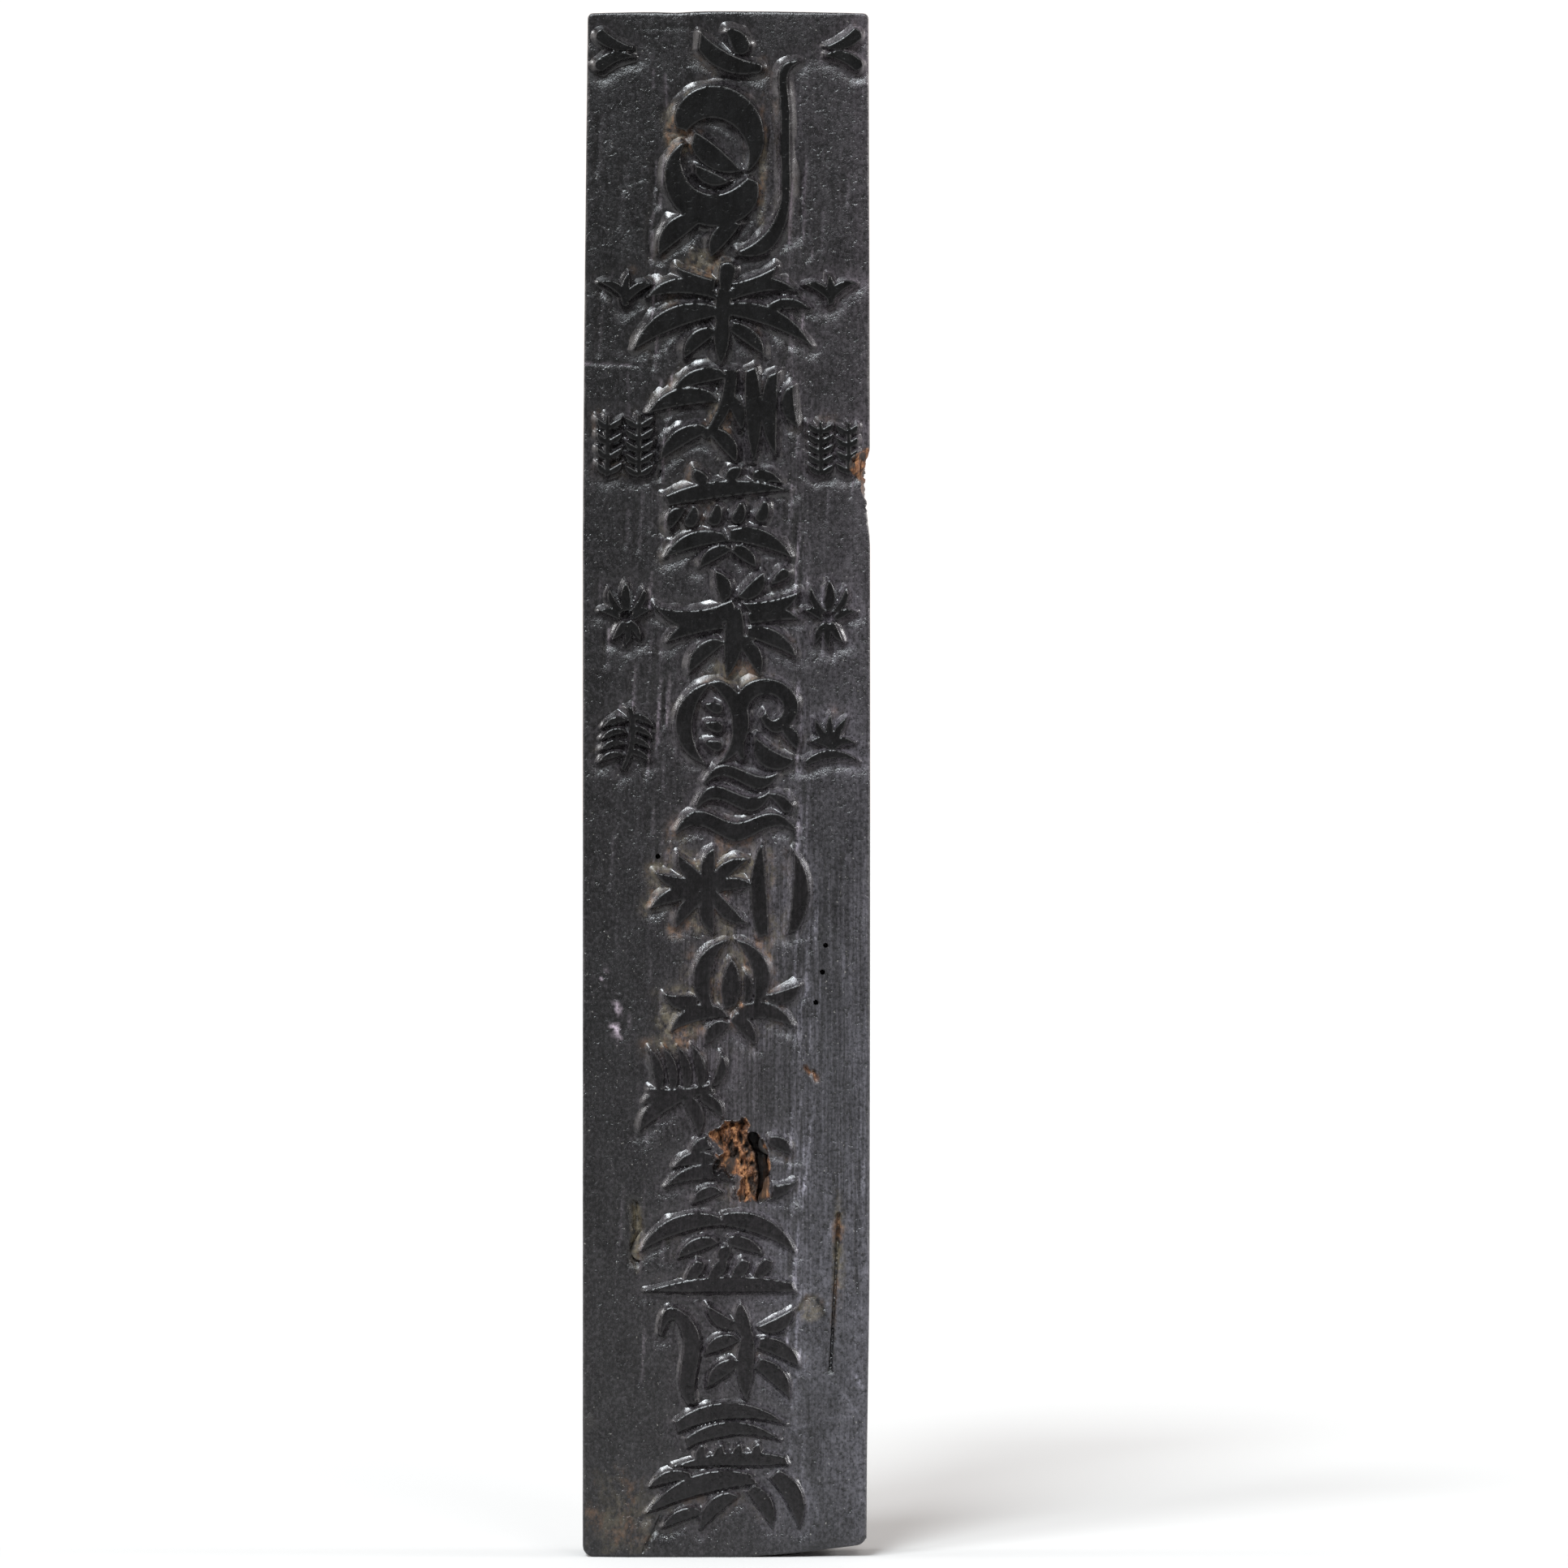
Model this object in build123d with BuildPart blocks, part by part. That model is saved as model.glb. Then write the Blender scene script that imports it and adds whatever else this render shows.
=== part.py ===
# An old wooden printing block: one upright plank, carved on its front with a column of
# brush-like ornaments in relief, eaten by woodworm in one place and chipped on one edge.
# Frame: +X to the right, +Z up, the printing face towards -Y, the origin under the middle.
from build123d import *
import math
import os

os.makedirs("parts", exist_ok=True)

# ---- driving dimensions, millimetres -------------------------------------------------
HEIGHT = 460.0                # along the grain, end to end
WIDTH = 85.6                  # at the widest, half way up
DEPTH = 24.0                  # back face to the printing tops of the marks
RELIEF = 2.5                  # how far the marks stand above the cut-back ground
BELLY = 0.5                   # how much narrower each end is than the middle, per side
CROWN = 0.7                   # how much the top end rises in its middle
CORNER_R = 1.6                # worn corners in the front view
FOOT_CORNER_R = 3.2           # the lower left corner is rubbed rounder
ARRIS = 0.9                   # worn long edges, front
BACK_ARRIS = 1.5              # worn edges, back

GROUND_Y = -DEPTH / 2 + RELIEF            # the ground plane that the marks stand on
BLOCK_DEPTH = DEPTH - RELIEF
HALF_W = WIDTH / 2
GROUND = Plane.XZ.offset(-GROUND_Y)       # sketches here read (x, z), normal towards -Y

# ---- damage ---------------------------------------------------------------------------
CHIP_TOP_Z = 329.5            # a splinter torn off the right-hand edge
CHIP_LOW_Z = 305.5
CHIP_BITE = 1.9
FOOT_WEAR = 4.4               # the front foot edge is worn away, more towards the right
FOOT_WEAR_DEPTH = 7.0
NEST = (4.2, 117.3)           # the woodworm nest: middle of its mouth
NEST_DEPTH = 5.5
GALLERY_DEPTH = 11.0
GALLERY_W = 3.4
SHAKE = (33.4, 100.0, 32.0, 67.0)         # a long drying crack: top x, z and foot x, z
SHAKE_W = 0.9
SHAKE_DEPTH = 1.6
EXIT_HOLE_R = 0.55
EXIT_HOLE_DEPTH = 6.0
EXIT_HOLES = [(29.5, 182.0), (28.6, 174.0), (26.6, 165.0), (-20.4, 208.4)]

# ---- brush strokes --------------------------------------------------------------------
# A stroke is its two ends in the cell (u, v from -1 to 1), its widths in mm at the head, the
# middle and the tail, and its bow to the left as a part of its length.
# A ribbon is a list of points of a long curved stroke, each with its width in mm.
HEAD_LEAN = 0.35              # a stroke starts on a slanted cut
LEAF_HEAD = 0.62              # a leaf's stalk end and a drop's point, as parts of its belly
DROP_HEAD = 0.22


def blade(u0, v0, u1, v1, head, tail, bow=0.0):
    """An even stroke with a slanted head and a round tail."""
    return (u0, v0, u1, v1, head, 0.6 * (head + tail), tail, bow)


def leaf(u0, v0, u1, v1, belly, bow=0.0):
    """A stroke that swells in its middle and runs out to a point."""
    return (u0, v0, u1, v1, LEAF_HEAD * belly, belly, 0.0, bow)


def drop(u0, v0, u1, v1, belly, bow=0.0):
    """A stroke that starts at a point and ends round and full."""
    return (u0, v0, u1, v1, DROP_HEAD * belly, 0.8 * belly, belly, bow)


def flipped(stroke):
    u0, v0, u1, v1, head, belly, tail, bow = stroke
    return (-u0, v0, -u1, v1, head, belly, tail, -bow)


def mirrored(strokes):
    return [flipped(stroke) for stroke in strokes]


def pair(stroke):
    """A stroke and its mirror image."""
    return [stroke, flipped(stroke)]


def fan(shape, u, v, start, reach, angles, belly, bow=0.0):
    """Leaves or drops round one point, from `start` to `reach` away, at angles from +X."""
    rays = [(math.cos(math.radians(a)), math.sin(math.radians(a))) for a in angles]
    return [shape(u + start * c, v + start * s, u + reach * c, v + reach * s, belly, bow)
            for c, s in rays]


def row(shape, u0, v0, u1, v1, count, du, dv, belly, bow=0.0):
    """Equal leaves or drops whose starts are spread from one point to another."""
    steps = [i / (count - 1) for i in range(count)]
    return [shape(u0 + (u1 - u0) * t, v0 + (v1 - v0) * t,
                  u0 + (u1 - u0) * t + du, v0 + (v1 - v0) * t + dv, belly, bow)
            for t in steps]


# ---- ornaments ------------------------------------------------------------------------
def wide_spray():
    """Drooping leaves in pairs, the widest low down, with a bud on top."""
    return ([drop(0.0, 0.34, 0.05, 0.88, 4.8)]
            + [leaf(0.12, 0.54, 0.60, 0.94, 3.6, -0.14), leaf(-0.10, 0.58, -0.52, 0.92, 3.8, 0.12)]
            + [leaf(0.07, 0.34, 0.84, 0.44, 4.4, 0.14), leaf(-0.08, 0.36, -0.88, 0.30, 4.6, -0.16)]
            + [leaf(-0.06, 0.06, -1.02, -0.74, 6.2, -0.13), leaf(0.05, 0.08, 1.0, -0.66, 5.2, 0.11)]
            + [leaf(0.09, -0.26, 0.46, -0.84, 4.2, 0.10), leaf(-0.10, -0.32, -0.44, -0.90, 4.4, -0.12)]
            + [blade(0.0, 0.52, -0.01, -0.10, 3.0, 4.4), leaf(-0.01, 0.0, -0.03, -1.04, 4.6)]
            + [leaf(0.52, 0.10, 0.98, 0.10, 3.2, 0.12)])


def leaning_reeds():
    """Leaves blown to the left from one stalk, and two tall ones on the right."""
    return ([leaf(0.02, 0.90, -0.66, 0.56, 4.4, -0.10), leaf(-0.10, 0.40, -1.0, 0.06, 5.2, -0.12)]
            + [leaf(-0.22, -0.24, -0.84, -0.94, 4.8, -0.12)]
            + [blade(0.10, 0.98, -0.22, -0.40, 3.4, 2.4, 0.10)]
            + [leaf(0.08, 0.42, 0.24, -0.30, 3.8, 0.10), leaf(-0.12, -0.34, 0.16, -0.98, 4.4, 0.12)]
            + [leaf(0.36, 1.0, 0.40, -1.0, 4.8, 0.02), leaf(0.66, 0.90, 0.70, -0.86, 4.6, -0.07)]
            + [leaf(0.88, 0.62, 1.0, -0.24, 3.8, -0.14)])


def blossom():
    """A long leaf over a row of petals, and two pairs of drooping leaves."""
    return ([leaf(-0.34, 0.72, -0.52, 1.0, 3.6, 0.1), leaf(0.02, 0.76, 0.22, 1.02, 3.6, 0.1)]
            + [leaf(-0.96, 0.34, 0.98, 0.56, 4.8, 0.06), leaf(0.40, 0.86, 0.84, 0.72, 3.4, 0.1)]
            + row(drop, -0.54, 0.24, 0.58, 0.34, 4, -0.05, -0.32, 3.8, 0.1)
            + [leaf(-0.74, 0.20, -0.92, -0.24, 3.6, -0.1)]
            + [leaf(-0.02, -0.40, -1.0, -0.82, 4.6, -0.12), leaf(0.04, -0.36, 1.0, -0.80, 5.0, 0.12)]
            + [leaf(0.02, -0.60, -0.44, -1.02, 3.8, -0.10), leaf(0.10, -0.62, 0.44, -1.0, 3.8, 0.10)])


def windblown_spray():
    """Leaves that burst from a bent stalk, with one long crescent to the left."""
    return ([leaf(0.10, 0.36, -1.0, 0.36, 5.8, 0.18)]
            + [leaf(-0.02, 0.46, -0.16, 1.02, 4.2, -0.1), leaf(0.20, 0.50, 0.50, 1.0, 4.2, -0.12)]
            + [leaf(0.26, 0.34, 1.0, 0.62, 4.4, -0.14), leaf(0.30, 0.10, 1.0, 0.10, 4.4, 0.12)]
            + [leaf(0.28, -0.14, 0.96, -0.62, 4.6, 0.12), leaf(0.18, -0.26, 0.46, -0.98, 4.4, 0.10)]
            + [leaf(0.10, 0.30, 0.0, -1.0, 5.6, 0.04), leaf(-0.06, 0.0, -0.84, -0.34, 4.4, -0.12)]
            + [leaf(-0.08, -0.30, -0.52, -0.92, 4.4, -0.12), drop(0.62, 0.78, 0.80, 0.98, 3.2)])


def twin_pods():
    """A tall pod with seeds between its two shells, and a curled shoot beside it."""
    return ([leaf(-0.46, 1.0, -0.54, -0.98, 5.0, -0.30), leaf(-0.40, 1.0, -0.34, -0.98, 5.0, 0.30)]
            + row(drop, -0.56, 0.44, -0.56, -0.46, 3, 0.22, -0.08, 3.4)
            + [[(0.10, -0.86, 1.0), (0.02, 0.0, 4.0), (0.24, 0.78, 4.8), (0.70, 0.84, 4.6),
                (0.94, 0.34, 4.4), (0.70, -0.06, 4.0), (0.46, 0.22, 2.4)]]
            + [leaf(0.30, -0.44, 1.02, -0.86, 5.6, -0.22), leaf(0.84, -0.12, 1.04, -0.62, 3.6, 0.12)])


def wave_crests():
    """Three rolling waves, each thick where it breaks."""
    return [[(-0.52, 0.60, 1.0), (-0.10, 0.94, 3.8), (0.28, 0.66, 4.2), (0.70, 0.86, 0.8)],
            [(-0.66, -0.10, 1.2), (-0.26, 0.30, 4.2), (0.14, 0.02, 4.4), (0.58, 0.34, 0.8)],
            [(-1.0, -0.84, 1.0), (-0.52, -0.46, 4.8), (0.0, -0.82, 5.6), (0.50, -0.52, 4.6),
             (1.0, -0.76, 1.0)],
            drop(0.56, 0.26, 0.86, -0.10, 3.8, 0.1)]


def palm_fan():
    """Pointed leaves round one heart, and two upright ones on the right."""
    return (fan(leaf, -0.36, 0.04, 0.12, 0.82, (46, 84, 122, 158), 4.0, 0.10)
            + fan(leaf, -0.36, 0.0, 0.12, 0.92, (206, 240, 274, 308), 4.2, -0.10)
            + [blade(-0.36, 0.22, -0.36, -0.18, 4.0, 4.0), leaf(-0.24, 0.02, 0.30, 0.06, 3.6, 0.1)]
            + [leaf(0.44, -0.98, 0.42, 1.0, 4.8, 0.05), leaf(0.86, -0.90, 0.88, 0.80, 4.8, -0.09)])


def lotus_bud():
    """Nested petals standing on a spread of leaves."""
    return ([leaf(0.36, -0.24, 0.06, 1.02, 4.8, -0.22), leaf(-0.36, -0.24, -0.06, 1.02, 4.8, 0.22)]
            + [leaf(-0.02, -0.28, 0.0, 0.66, 5.4), leaf(0.22, -0.20, 0.20, 0.40, 2.6, -0.1)]
            + [leaf(0.52, -0.12, 1.0, 0.16, 4.2, -0.16), leaf(-0.52, -0.14, -1.0, -0.02, 4.2, 0.18)]
            + [leaf(0.10, -0.40, 0.92, -0.66, 4.8, 0.16), leaf(-0.08, -0.40, -0.90, -0.74, 4.8, -0.16)]
            + [leaf(0.02, -0.46, 0.34, -1.0, 4.2, 0.10), leaf(-0.08, -0.56, -0.38, -1.0, 4.0, -0.10)])


def grass_blades():
    """A tuft of thin leaves over two long roots."""
    return (row(leaf, -0.52, -0.04, 0.50, 0.04, 4, -0.24, 0.90, 3.0, -0.08)
            + [leaf(0.78, 0.04, 1.0, 0.74, 2.8, -0.12), blade(0.74, 0.0, -0.72, -0.06, 2.6, 2.0, 0.06)]
            + [leaf(0.06, -0.16, -1.0, -0.92, 4.6, -0.12), leaf(0.14, -0.20, 0.44, -1.02, 4.0, 0.12)]
            + [leaf(0.50, -0.18, 1.02, -0.62, 3.4, 0.12), leaf(-0.36, -0.16, -0.90, -0.34, 3.0, -0.1)])


def fallen_leaves():
    """Scattered leaves round the woodworm nest."""
    return ([leaf(-0.18, 0.86, -0.60, 0.46, 3.8, -0.12), leaf(-0.20, 0.30, -0.86, 0.06, 3.8, -0.12)]
            + [leaf(0.20, -0.26, -1.0, -0.52, 4.6, -0.14), leaf(0.26, -0.52, 1.0, -0.36, 4.2, -0.16)]
            + [leaf(0.60, 0.86, 0.94, 0.44, 3.8, 0.14), leaf(-0.16, -0.60, -0.56, -1.0, 3.4, -0.12)]
            + [leaf(0.06, -0.66, 0.30, -1.04, 3.0, 0.1)])


def sheltering_leaves():
    """Two wide leaves over slanting ones, above one long low stroke."""
    return ([leaf(0.06, 0.94, -1.0, 0.16, 5.0, -0.13), leaf(0.06, 0.96, 1.0, 0.14, 5.2, 0.13)]
            + [leaf(-0.02, 0.44, -0.52, -0.02, 3.8, -0.1), leaf(0.14, 0.42, 0.58, 0.08, 3.8, 0.1)]
            + row(leaf, -0.22, -0.10, 0.66, -0.04, 4, -0.20, -0.44, 3.6, 0.1)
            + [leaf(0.10, 0.30, 0.06, -0.14, 3.6)]
            + [leaf(0.98, -0.74, -0.94, -0.84, 4.6, -0.03)])


def iris():
    """A bent leaf on the left, and leaves either side of a tall heart leaf on the right."""
    return ([[(-1.0, 0.34, 0.8), (-0.80, 0.74, 4.0), (-0.58, 0.40, 4.6), (-0.60, -0.38, 4.8),
              (-0.54, -0.98, 2.4)]]
            + [leaf(0.26, 0.30, 0.16, 0.96, 4.4, 0.08), leaf(0.44, 0.44, 0.92, 0.84, 4.0, -0.14)]
            + [leaf(0.08, 0.50, -0.32, 0.90, 3.8, 0.12)]
            + [leaf(0.26, 0.34, 0.24, -0.92, 5.0, -0.03)]
            + [leaf(0.10, 0.28, -0.36, -0.04, 4.0, -0.1), leaf(0.12, -0.16, -0.32, -0.66, 4.2, -0.1)]
            + [leaf(0.42, 0.18, 1.0, -0.26, 4.6, 0.12), leaf(0.40, -0.20, 0.86, -0.86, 4.8, 0.12)])


def shell_and_grass():
    """Nested shells over long leaves that sweep out to both sides."""
    return ([leaf(-0.62, 0.70, 0.84, 0.74, 4.8, 0.14), leaf(-0.48, 0.44, 0.76, 0.48, 4.0, 0.14)]
            + row(drop, -0.28, 0.40, 0.46, 0.42, 4, -0.03, -0.20, 3.2)
            + [leaf(0.84, 0.14, -0.66, 0.04, 4.0, -0.04)]
            + [leaf(0.40, -0.16, -1.02, -0.74, 5.8, -0.10), leaf(0.68, -0.08, 1.0, -0.98, 5.2, 0.14)]
            + [leaf(0.36, -0.32, 0.64, -0.96, 4.2, 0.12), leaf(0.14, -0.42, -0.30, -1.0, 4.2, -0.12)]
            + [leaf(-0.44, -0.10, -0.98, -0.30, 3.4, -0.1), leaf(-0.30, -0.70, -0.80, -0.98, 3.2, -0.1)])


def small_sprig():
    return [leaf(0.0, -0.9, 0.1, 0.98, 2.6, 0.06), leaf(0.0, -0.5, -0.95, 0.4, 2.6, -0.16),
            leaf(0.05, -0.5, 0.98, 0.3, 2.6, 0.16)]


def small_thicket():
    """Short leaves slanting off three upright stalks."""
    return (row(leaf, -0.66, -0.86, -0.66, 0.56, 4, -0.34, 0.34, 1.9, 0.1)
            + row(leaf, -0.62, -0.86, -0.62, 0.56, 4, 0.50, 0.34, 1.9, -0.1)
            + row(leaf, 0.46, -0.92, 0.46, 0.60, 5, -0.50, 0.34, 1.9, 0.1)
            + row(leaf, 0.50, -0.92, 0.50, 0.60, 5, 0.48, 0.34, 1.9, -0.1)
            + [blade(-0.64, -0.96, -0.64, 0.92, 1.3, 1.1), blade(0.48, -0.98, 0.48, 0.96, 1.3, 1.1)])


def small_bud():
    """A bud between two leaves over a tuft of three."""
    return ([leaf(0.05, 0.08, 0.04, 1.0, 3.0, 0.04), leaf(-0.12, 0.04, -0.62, 0.78, 2.2, 0.14)]
            + [leaf(0.22, 0.04, 0.72, 0.80, 2.2, -0.14), leaf(-0.20, -0.16, -0.98, 0.06, 2.2, -0.14)]
            + [leaf(0.28, -0.14, 0.98, 0.10, 2.2, 0.14)]
            + fan(leaf, 0.05, -0.12, 0.16, 0.90, (232, 268, 304), 2.2, 0.08))


def small_burst():
    """Small leaves either side of a bent stalk."""
    return ([blade(0.12, 0.98, -0.10, -0.94, 1.6, 1.4, 0.10)]
            + row(leaf, 0.02, 0.60, -0.12, -0.50, 4, -0.84, -0.26, 2.0, -0.12)
            + row(leaf, 0.22, 0.70, 0.08, -0.40, 4, 0.76, -0.34, 2.0, 0.12))


def small_mound():
    return ([leaf(-0.96, -0.86, 0.98, -0.78, 2.6, 0.16)]
            + pair(leaf(0.0, -0.34, 0.80, -0.12, 2.4, 0.2))
            + fan(leaf, 0.0, -0.30, 0.0, 1.2, (62, 92, 122), 2.4, 0.06))


def corner_drops():
    return [drop(0.90, 0.06, -0.60, 0.58, 4.0, 0.10), drop(0.90, -0.28, -0.64, -0.66, 4.0, -0.12)]


def top_bar():
    return [(-0.84, 0.50, 0.80, -0.84, 5.0, 5.4, 3.2, -0.12), drop(-0.06, 0.98, 0.34, 0.22, 5.6, 0.12)]


def scroll_flourish():
    """Two full curling drops that face each other round a leaf, over a long tail."""
    return [[(0.46, 0.02, 0.8), (0.58, 0.38, 5.6), (0.34, 0.70, 8.8), (-0.20, 0.82, 9.6),
             (-0.56, 0.66, 7.0), (-0.62, 0.50, 3.0)],
            [(-0.60, 0.34, 0.8), (-0.76, 0.02, 5.2), (-0.56, -0.30, 8.2), (-0.02, -0.44, 9.6),
             (0.40, -0.30, 8.2), (0.54, -0.08, 3.0)],
            leaf(-0.44, 0.40, 0.36, 0.02, 6.4, -0.08),
            leaf(-0.40, 0.04, 0.16, -0.10, 4.0, -0.10),
            leaf(-0.34, -0.50, -1.0, -0.96, 6.0, -0.12), leaf(0.26, -0.58, -0.14, -0.98, 5.0, -0.10)]


def long_stem():
    """A thin upright line, bent over at the top and swept under at the foot."""
    return [[(1.0, 0.96, 0.8), (0.78, 0.90, 2.6), (0.74, 0.60, 2.6), (0.76, 0.0, 2.8),
             (0.72, -0.56, 3.0), (0.40, -0.88, 4.6), (-0.10, -0.98, 1.4)]]


# node name: strokes, then the cell: middle x, middle z, half width, half height
MARKS = {
    "top_bar": (top_bar(), 0.8, 448.0, 10.4, 6.2),
    "scroll_flourish": (scroll_flourish(), -2.0, 411.8, 18.0, 25.6),
    "long_stem": (long_stem(), 5.2, 416.6, 16.2, 29.4),
    "wide_spray": (wide_spray(), -0.9, 370.0, 26.2, 14.8),
    "leaning_reeds": (leaning_reeds(), -0.9, 339.4, 22.4, 14.0),
    "blossom": (blossom(), 0.4, 309.2, 18.8, 14.6),
    "windblown_spray": (windblown_spray(), 0.2, 277.4, 21.4, 15.6),
    "twin_pods": (twin_pods(), 3.2, 248.0, 17.0, 12.4),
    "wave_crests": (wave_crests(), 2.8, 224.2, 17.6, 10.2),
    "palm_fan": (palm_fan(), 2.0, 198.8, 20.6, 14.2),
    "lotus_bud": (lotus_bud(), 1.6, 168.0, 20.0, 15.4),
    "grass_blades": (grass_blades(), -13.6, 139.6, 12.2, 13.8),
    "fallen_leaves": (fallen_leaves(), 1.0, 115.4, 19.4, 10.0),
    "sheltering_leaves": (sheltering_leaves(), -2.6, 89.2, 23.0, 11.8),
    "iris": (iris(), 1.0, 61.0, 20.6, 15.6),
    "shell_and_grass": (shell_and_grass(), -0.9, 26.4, 22.4, 17.8),
    "left_sprig": (small_sprig(), -29.8, 377.0, 8.4, 5.4),
    "left_thicket": (small_thicket(), -30.0, 330.6, 8.4, 9.4),
    "left_bud": (small_bud(), -30.0, 280.8, 7.8, 9.4),
    "left_burst": (small_burst(), -29.8, 243.6, 8.4, 9.4),
    "right_sprig": (mirrored(small_sprig()), 31.0, 377.0, 8.0, 5.0),
    "right_thicket": (mirrored(small_thicket()), 31.6, 329.8, 7.4, 8.0),
    "right_bud": (mirrored(small_bud()), 30.8, 280.6, 7.8, 10.2),
    "right_mound": (small_mound(), 31.4, 243.4, 8.2, 8.6),
    "left_corner_drops": (corner_drops(), -33.4, 448.4, 6.2, 7.0),
    "right_corner_drops": (mirrored(corner_drops()), 35.0, 448.6, 5.8, 7.0),
}
EATEN = ("fallen_leaves", "grass_blades")     # marks that the woodworm nest cuts into


def unit(vector):
    return vector.normalized()


def left_of(direction):
    return Vector(-direction.Y, direction.X)


def place(u, v, cell):
    """A cell point in mm on the ground plane."""
    x_mid, z_mid, half_w, half_h = cell
    return Vector(x_mid + u * half_w, z_mid + v * half_h)


def stroke_points(stroke, cell):
    """Head, middle and tail points of both sides of a stroke, and its round tail's tip."""
    u0, v0, u1, v1, head, belly, tail, bow = stroke
    start, end = place(u0, v0, cell), place(u1, v1, cell)
    along = unit(end - start)
    across = left_of(along)
    lean = along * (HEAD_LEAN * head / 2)
    middle = (start + end) * 0.5 + across * (bow * (end - start).length)
    left = (start + across * (head / 2) - lean, middle + across * (belly / 2),
            end + across * (tail / 2))
    right = (start - across * (head / 2) + lean, middle - across * (belly / 2),
             end - across * (tail / 2))
    return left, right, end + along * (tail * 0.45)


def ribbon_sides(ribbon, cell):
    """Left and right points of a ribbon, offset from its line by half its width."""
    line = [place(u, v, cell) for u, v, width in ribbon]
    widths = [width for u, v, width in ribbon]
    ahead = line[1:] + [line[-1]]
    behind = [line[0]] + line[:-1]
    sides = [left_of(unit(b - a)) for a, b in zip(behind, ahead)]
    left = [p + s * (w / 2) for p, s, w in zip(line, sides, widths)]
    right = [p - s * (w / 2) for p, s, w in zip(line, sides, widths)]
    return left, right


def nest_mouth():
    """Points round the ragged mouth of the woodworm nest."""
    x, z = NEST
    return [(x - 9.2, z + 8.6), (x - 2.6, z + 12.4), (x + 5.2, z + 8.2), (x + 8.4, z + 0.6),
            (x + 7.6, z - 11.2), (x - 0.6, z - 12.0), (x - 2.2, z - 2.4), (x - 7.0, z + 3.0)]


# ---- the block ------------------------------------------------------------------------
with BuildPart() as block:
    with BuildSketch(GROUND):
        with BuildLine():
            foot_left = (-HALF_W + BELLY, 0)
            foot_right = (HALF_W - BELLY, 0)
            top_left = (-HALF_W + BELLY, HEIGHT - CROWN)
            top_right = (HALF_W - BELLY, HEIGHT - CROWN)
            Line(foot_left, foot_right)
            ThreePointArc(foot_right, (HALF_W, HEIGHT / 2), top_right)
            ThreePointArc(top_right, (0, HEIGHT), top_left)
            ThreePointArc(top_left, (-HALF_W, HEIGHT / 2), foot_left)
        make_face()
        corners = vertices().sort_by(Axis.Y)
        foot_corners = corners[:2].sort_by(Axis.X)
        fillet(foot_corners[0], FOOT_CORNER_R)
        fillet([foot_corners[1], *corners[2:]], CORNER_R)
    extrude(amount=-BLOCK_DEPTH)
    fillet(block.faces().sort_by(Axis.Y)[0].edges(), ARRIS)
    fillet(block.faces().sort_by(Axis.Y)[-1].edges(), BACK_ARRIS)

    # the splinter torn from the right-hand edge: steep at the top, running out below
    with BuildSketch(GROUND):
        with BuildLine():
            chip_x = HALF_W - CHIP_BITE
            Line((HALF_W + 1, CHIP_TOP_Z + 1), (chip_x, CHIP_TOP_Z - 2.5))
            ThreePointArc((chip_x, CHIP_TOP_Z - 2.5), (chip_x - 0.1, CHIP_TOP_Z - 9),
                          (HALF_W + 1, CHIP_LOW_Z - 4))
            Line((HALF_W + 1, CHIP_LOW_Z - 4), (HALF_W + 1, CHIP_TOP_Z + 1))
        make_face()
    extrude(amount=-BLOCK_DEPTH / 2, mode=Mode.SUBTRACT)

    # the worn front foot edge, a wedge that grows to the right
    with BuildSketch(GROUND):
        with BuildLine():
            Polyline((-HALF_W + 12, 0), (HALF_W + 1, FOOT_WEAR), (HALF_W + 1, -1),
                     (-HALF_W + 12, -1), close=True)
        make_face()
    extrude(amount=-FOOT_WEAR_DEPTH, mode=Mode.SUBTRACT)

    # the woodworm nest, with one gallery that bends down into the wood
    with BuildSketch(GROUND):
        with BuildLine():
            Spline(*nest_mouth(), periodic=True)
        make_face()
    extrude(amount=-NEST_DEPTH, mode=Mode.SUBTRACT)
    with BuildSketch(GROUND):
        with BuildLine() as gallery_line:
            ThreePointArc((NEST[0] + 1.5, NEST[1] + 6), (NEST[0] + 5, NEST[1]),
                          (NEST[0] + 4.6, NEST[1] - 8))
        SlotArc(gallery_line.edge(), GALLERY_W)
    extrude(amount=-GALLERY_DEPTH, mode=Mode.SUBTRACT)

    # the drying crack, and the beetles' round exit holes
    with BuildSketch(GROUND):
        with BuildLine():
            top_x, top_z, low_x, low_z = SHAKE
            mid_x, mid_z = (top_x + low_x) / 2, (top_z + low_z) / 2
            ThreePointArc((top_x, top_z), (mid_x + SHAKE_W / 2, mid_z), (low_x, low_z))
            ThreePointArc((low_x, low_z), (mid_x - SHAKE_W / 2, mid_z), (top_x, top_z))
        make_face()
    extrude(amount=-SHAKE_DEPTH, mode=Mode.SUBTRACT)
    with BuildSketch(GROUND):
        with Locations(*EXIT_HOLES):
            Circle(EXIT_HOLE_R)
    extrude(amount=-EXIT_HOLE_DEPTH, mode=Mode.SUBTRACT)

block.part.label = "block"
export_step(block.part, "parts/block.step")

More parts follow.
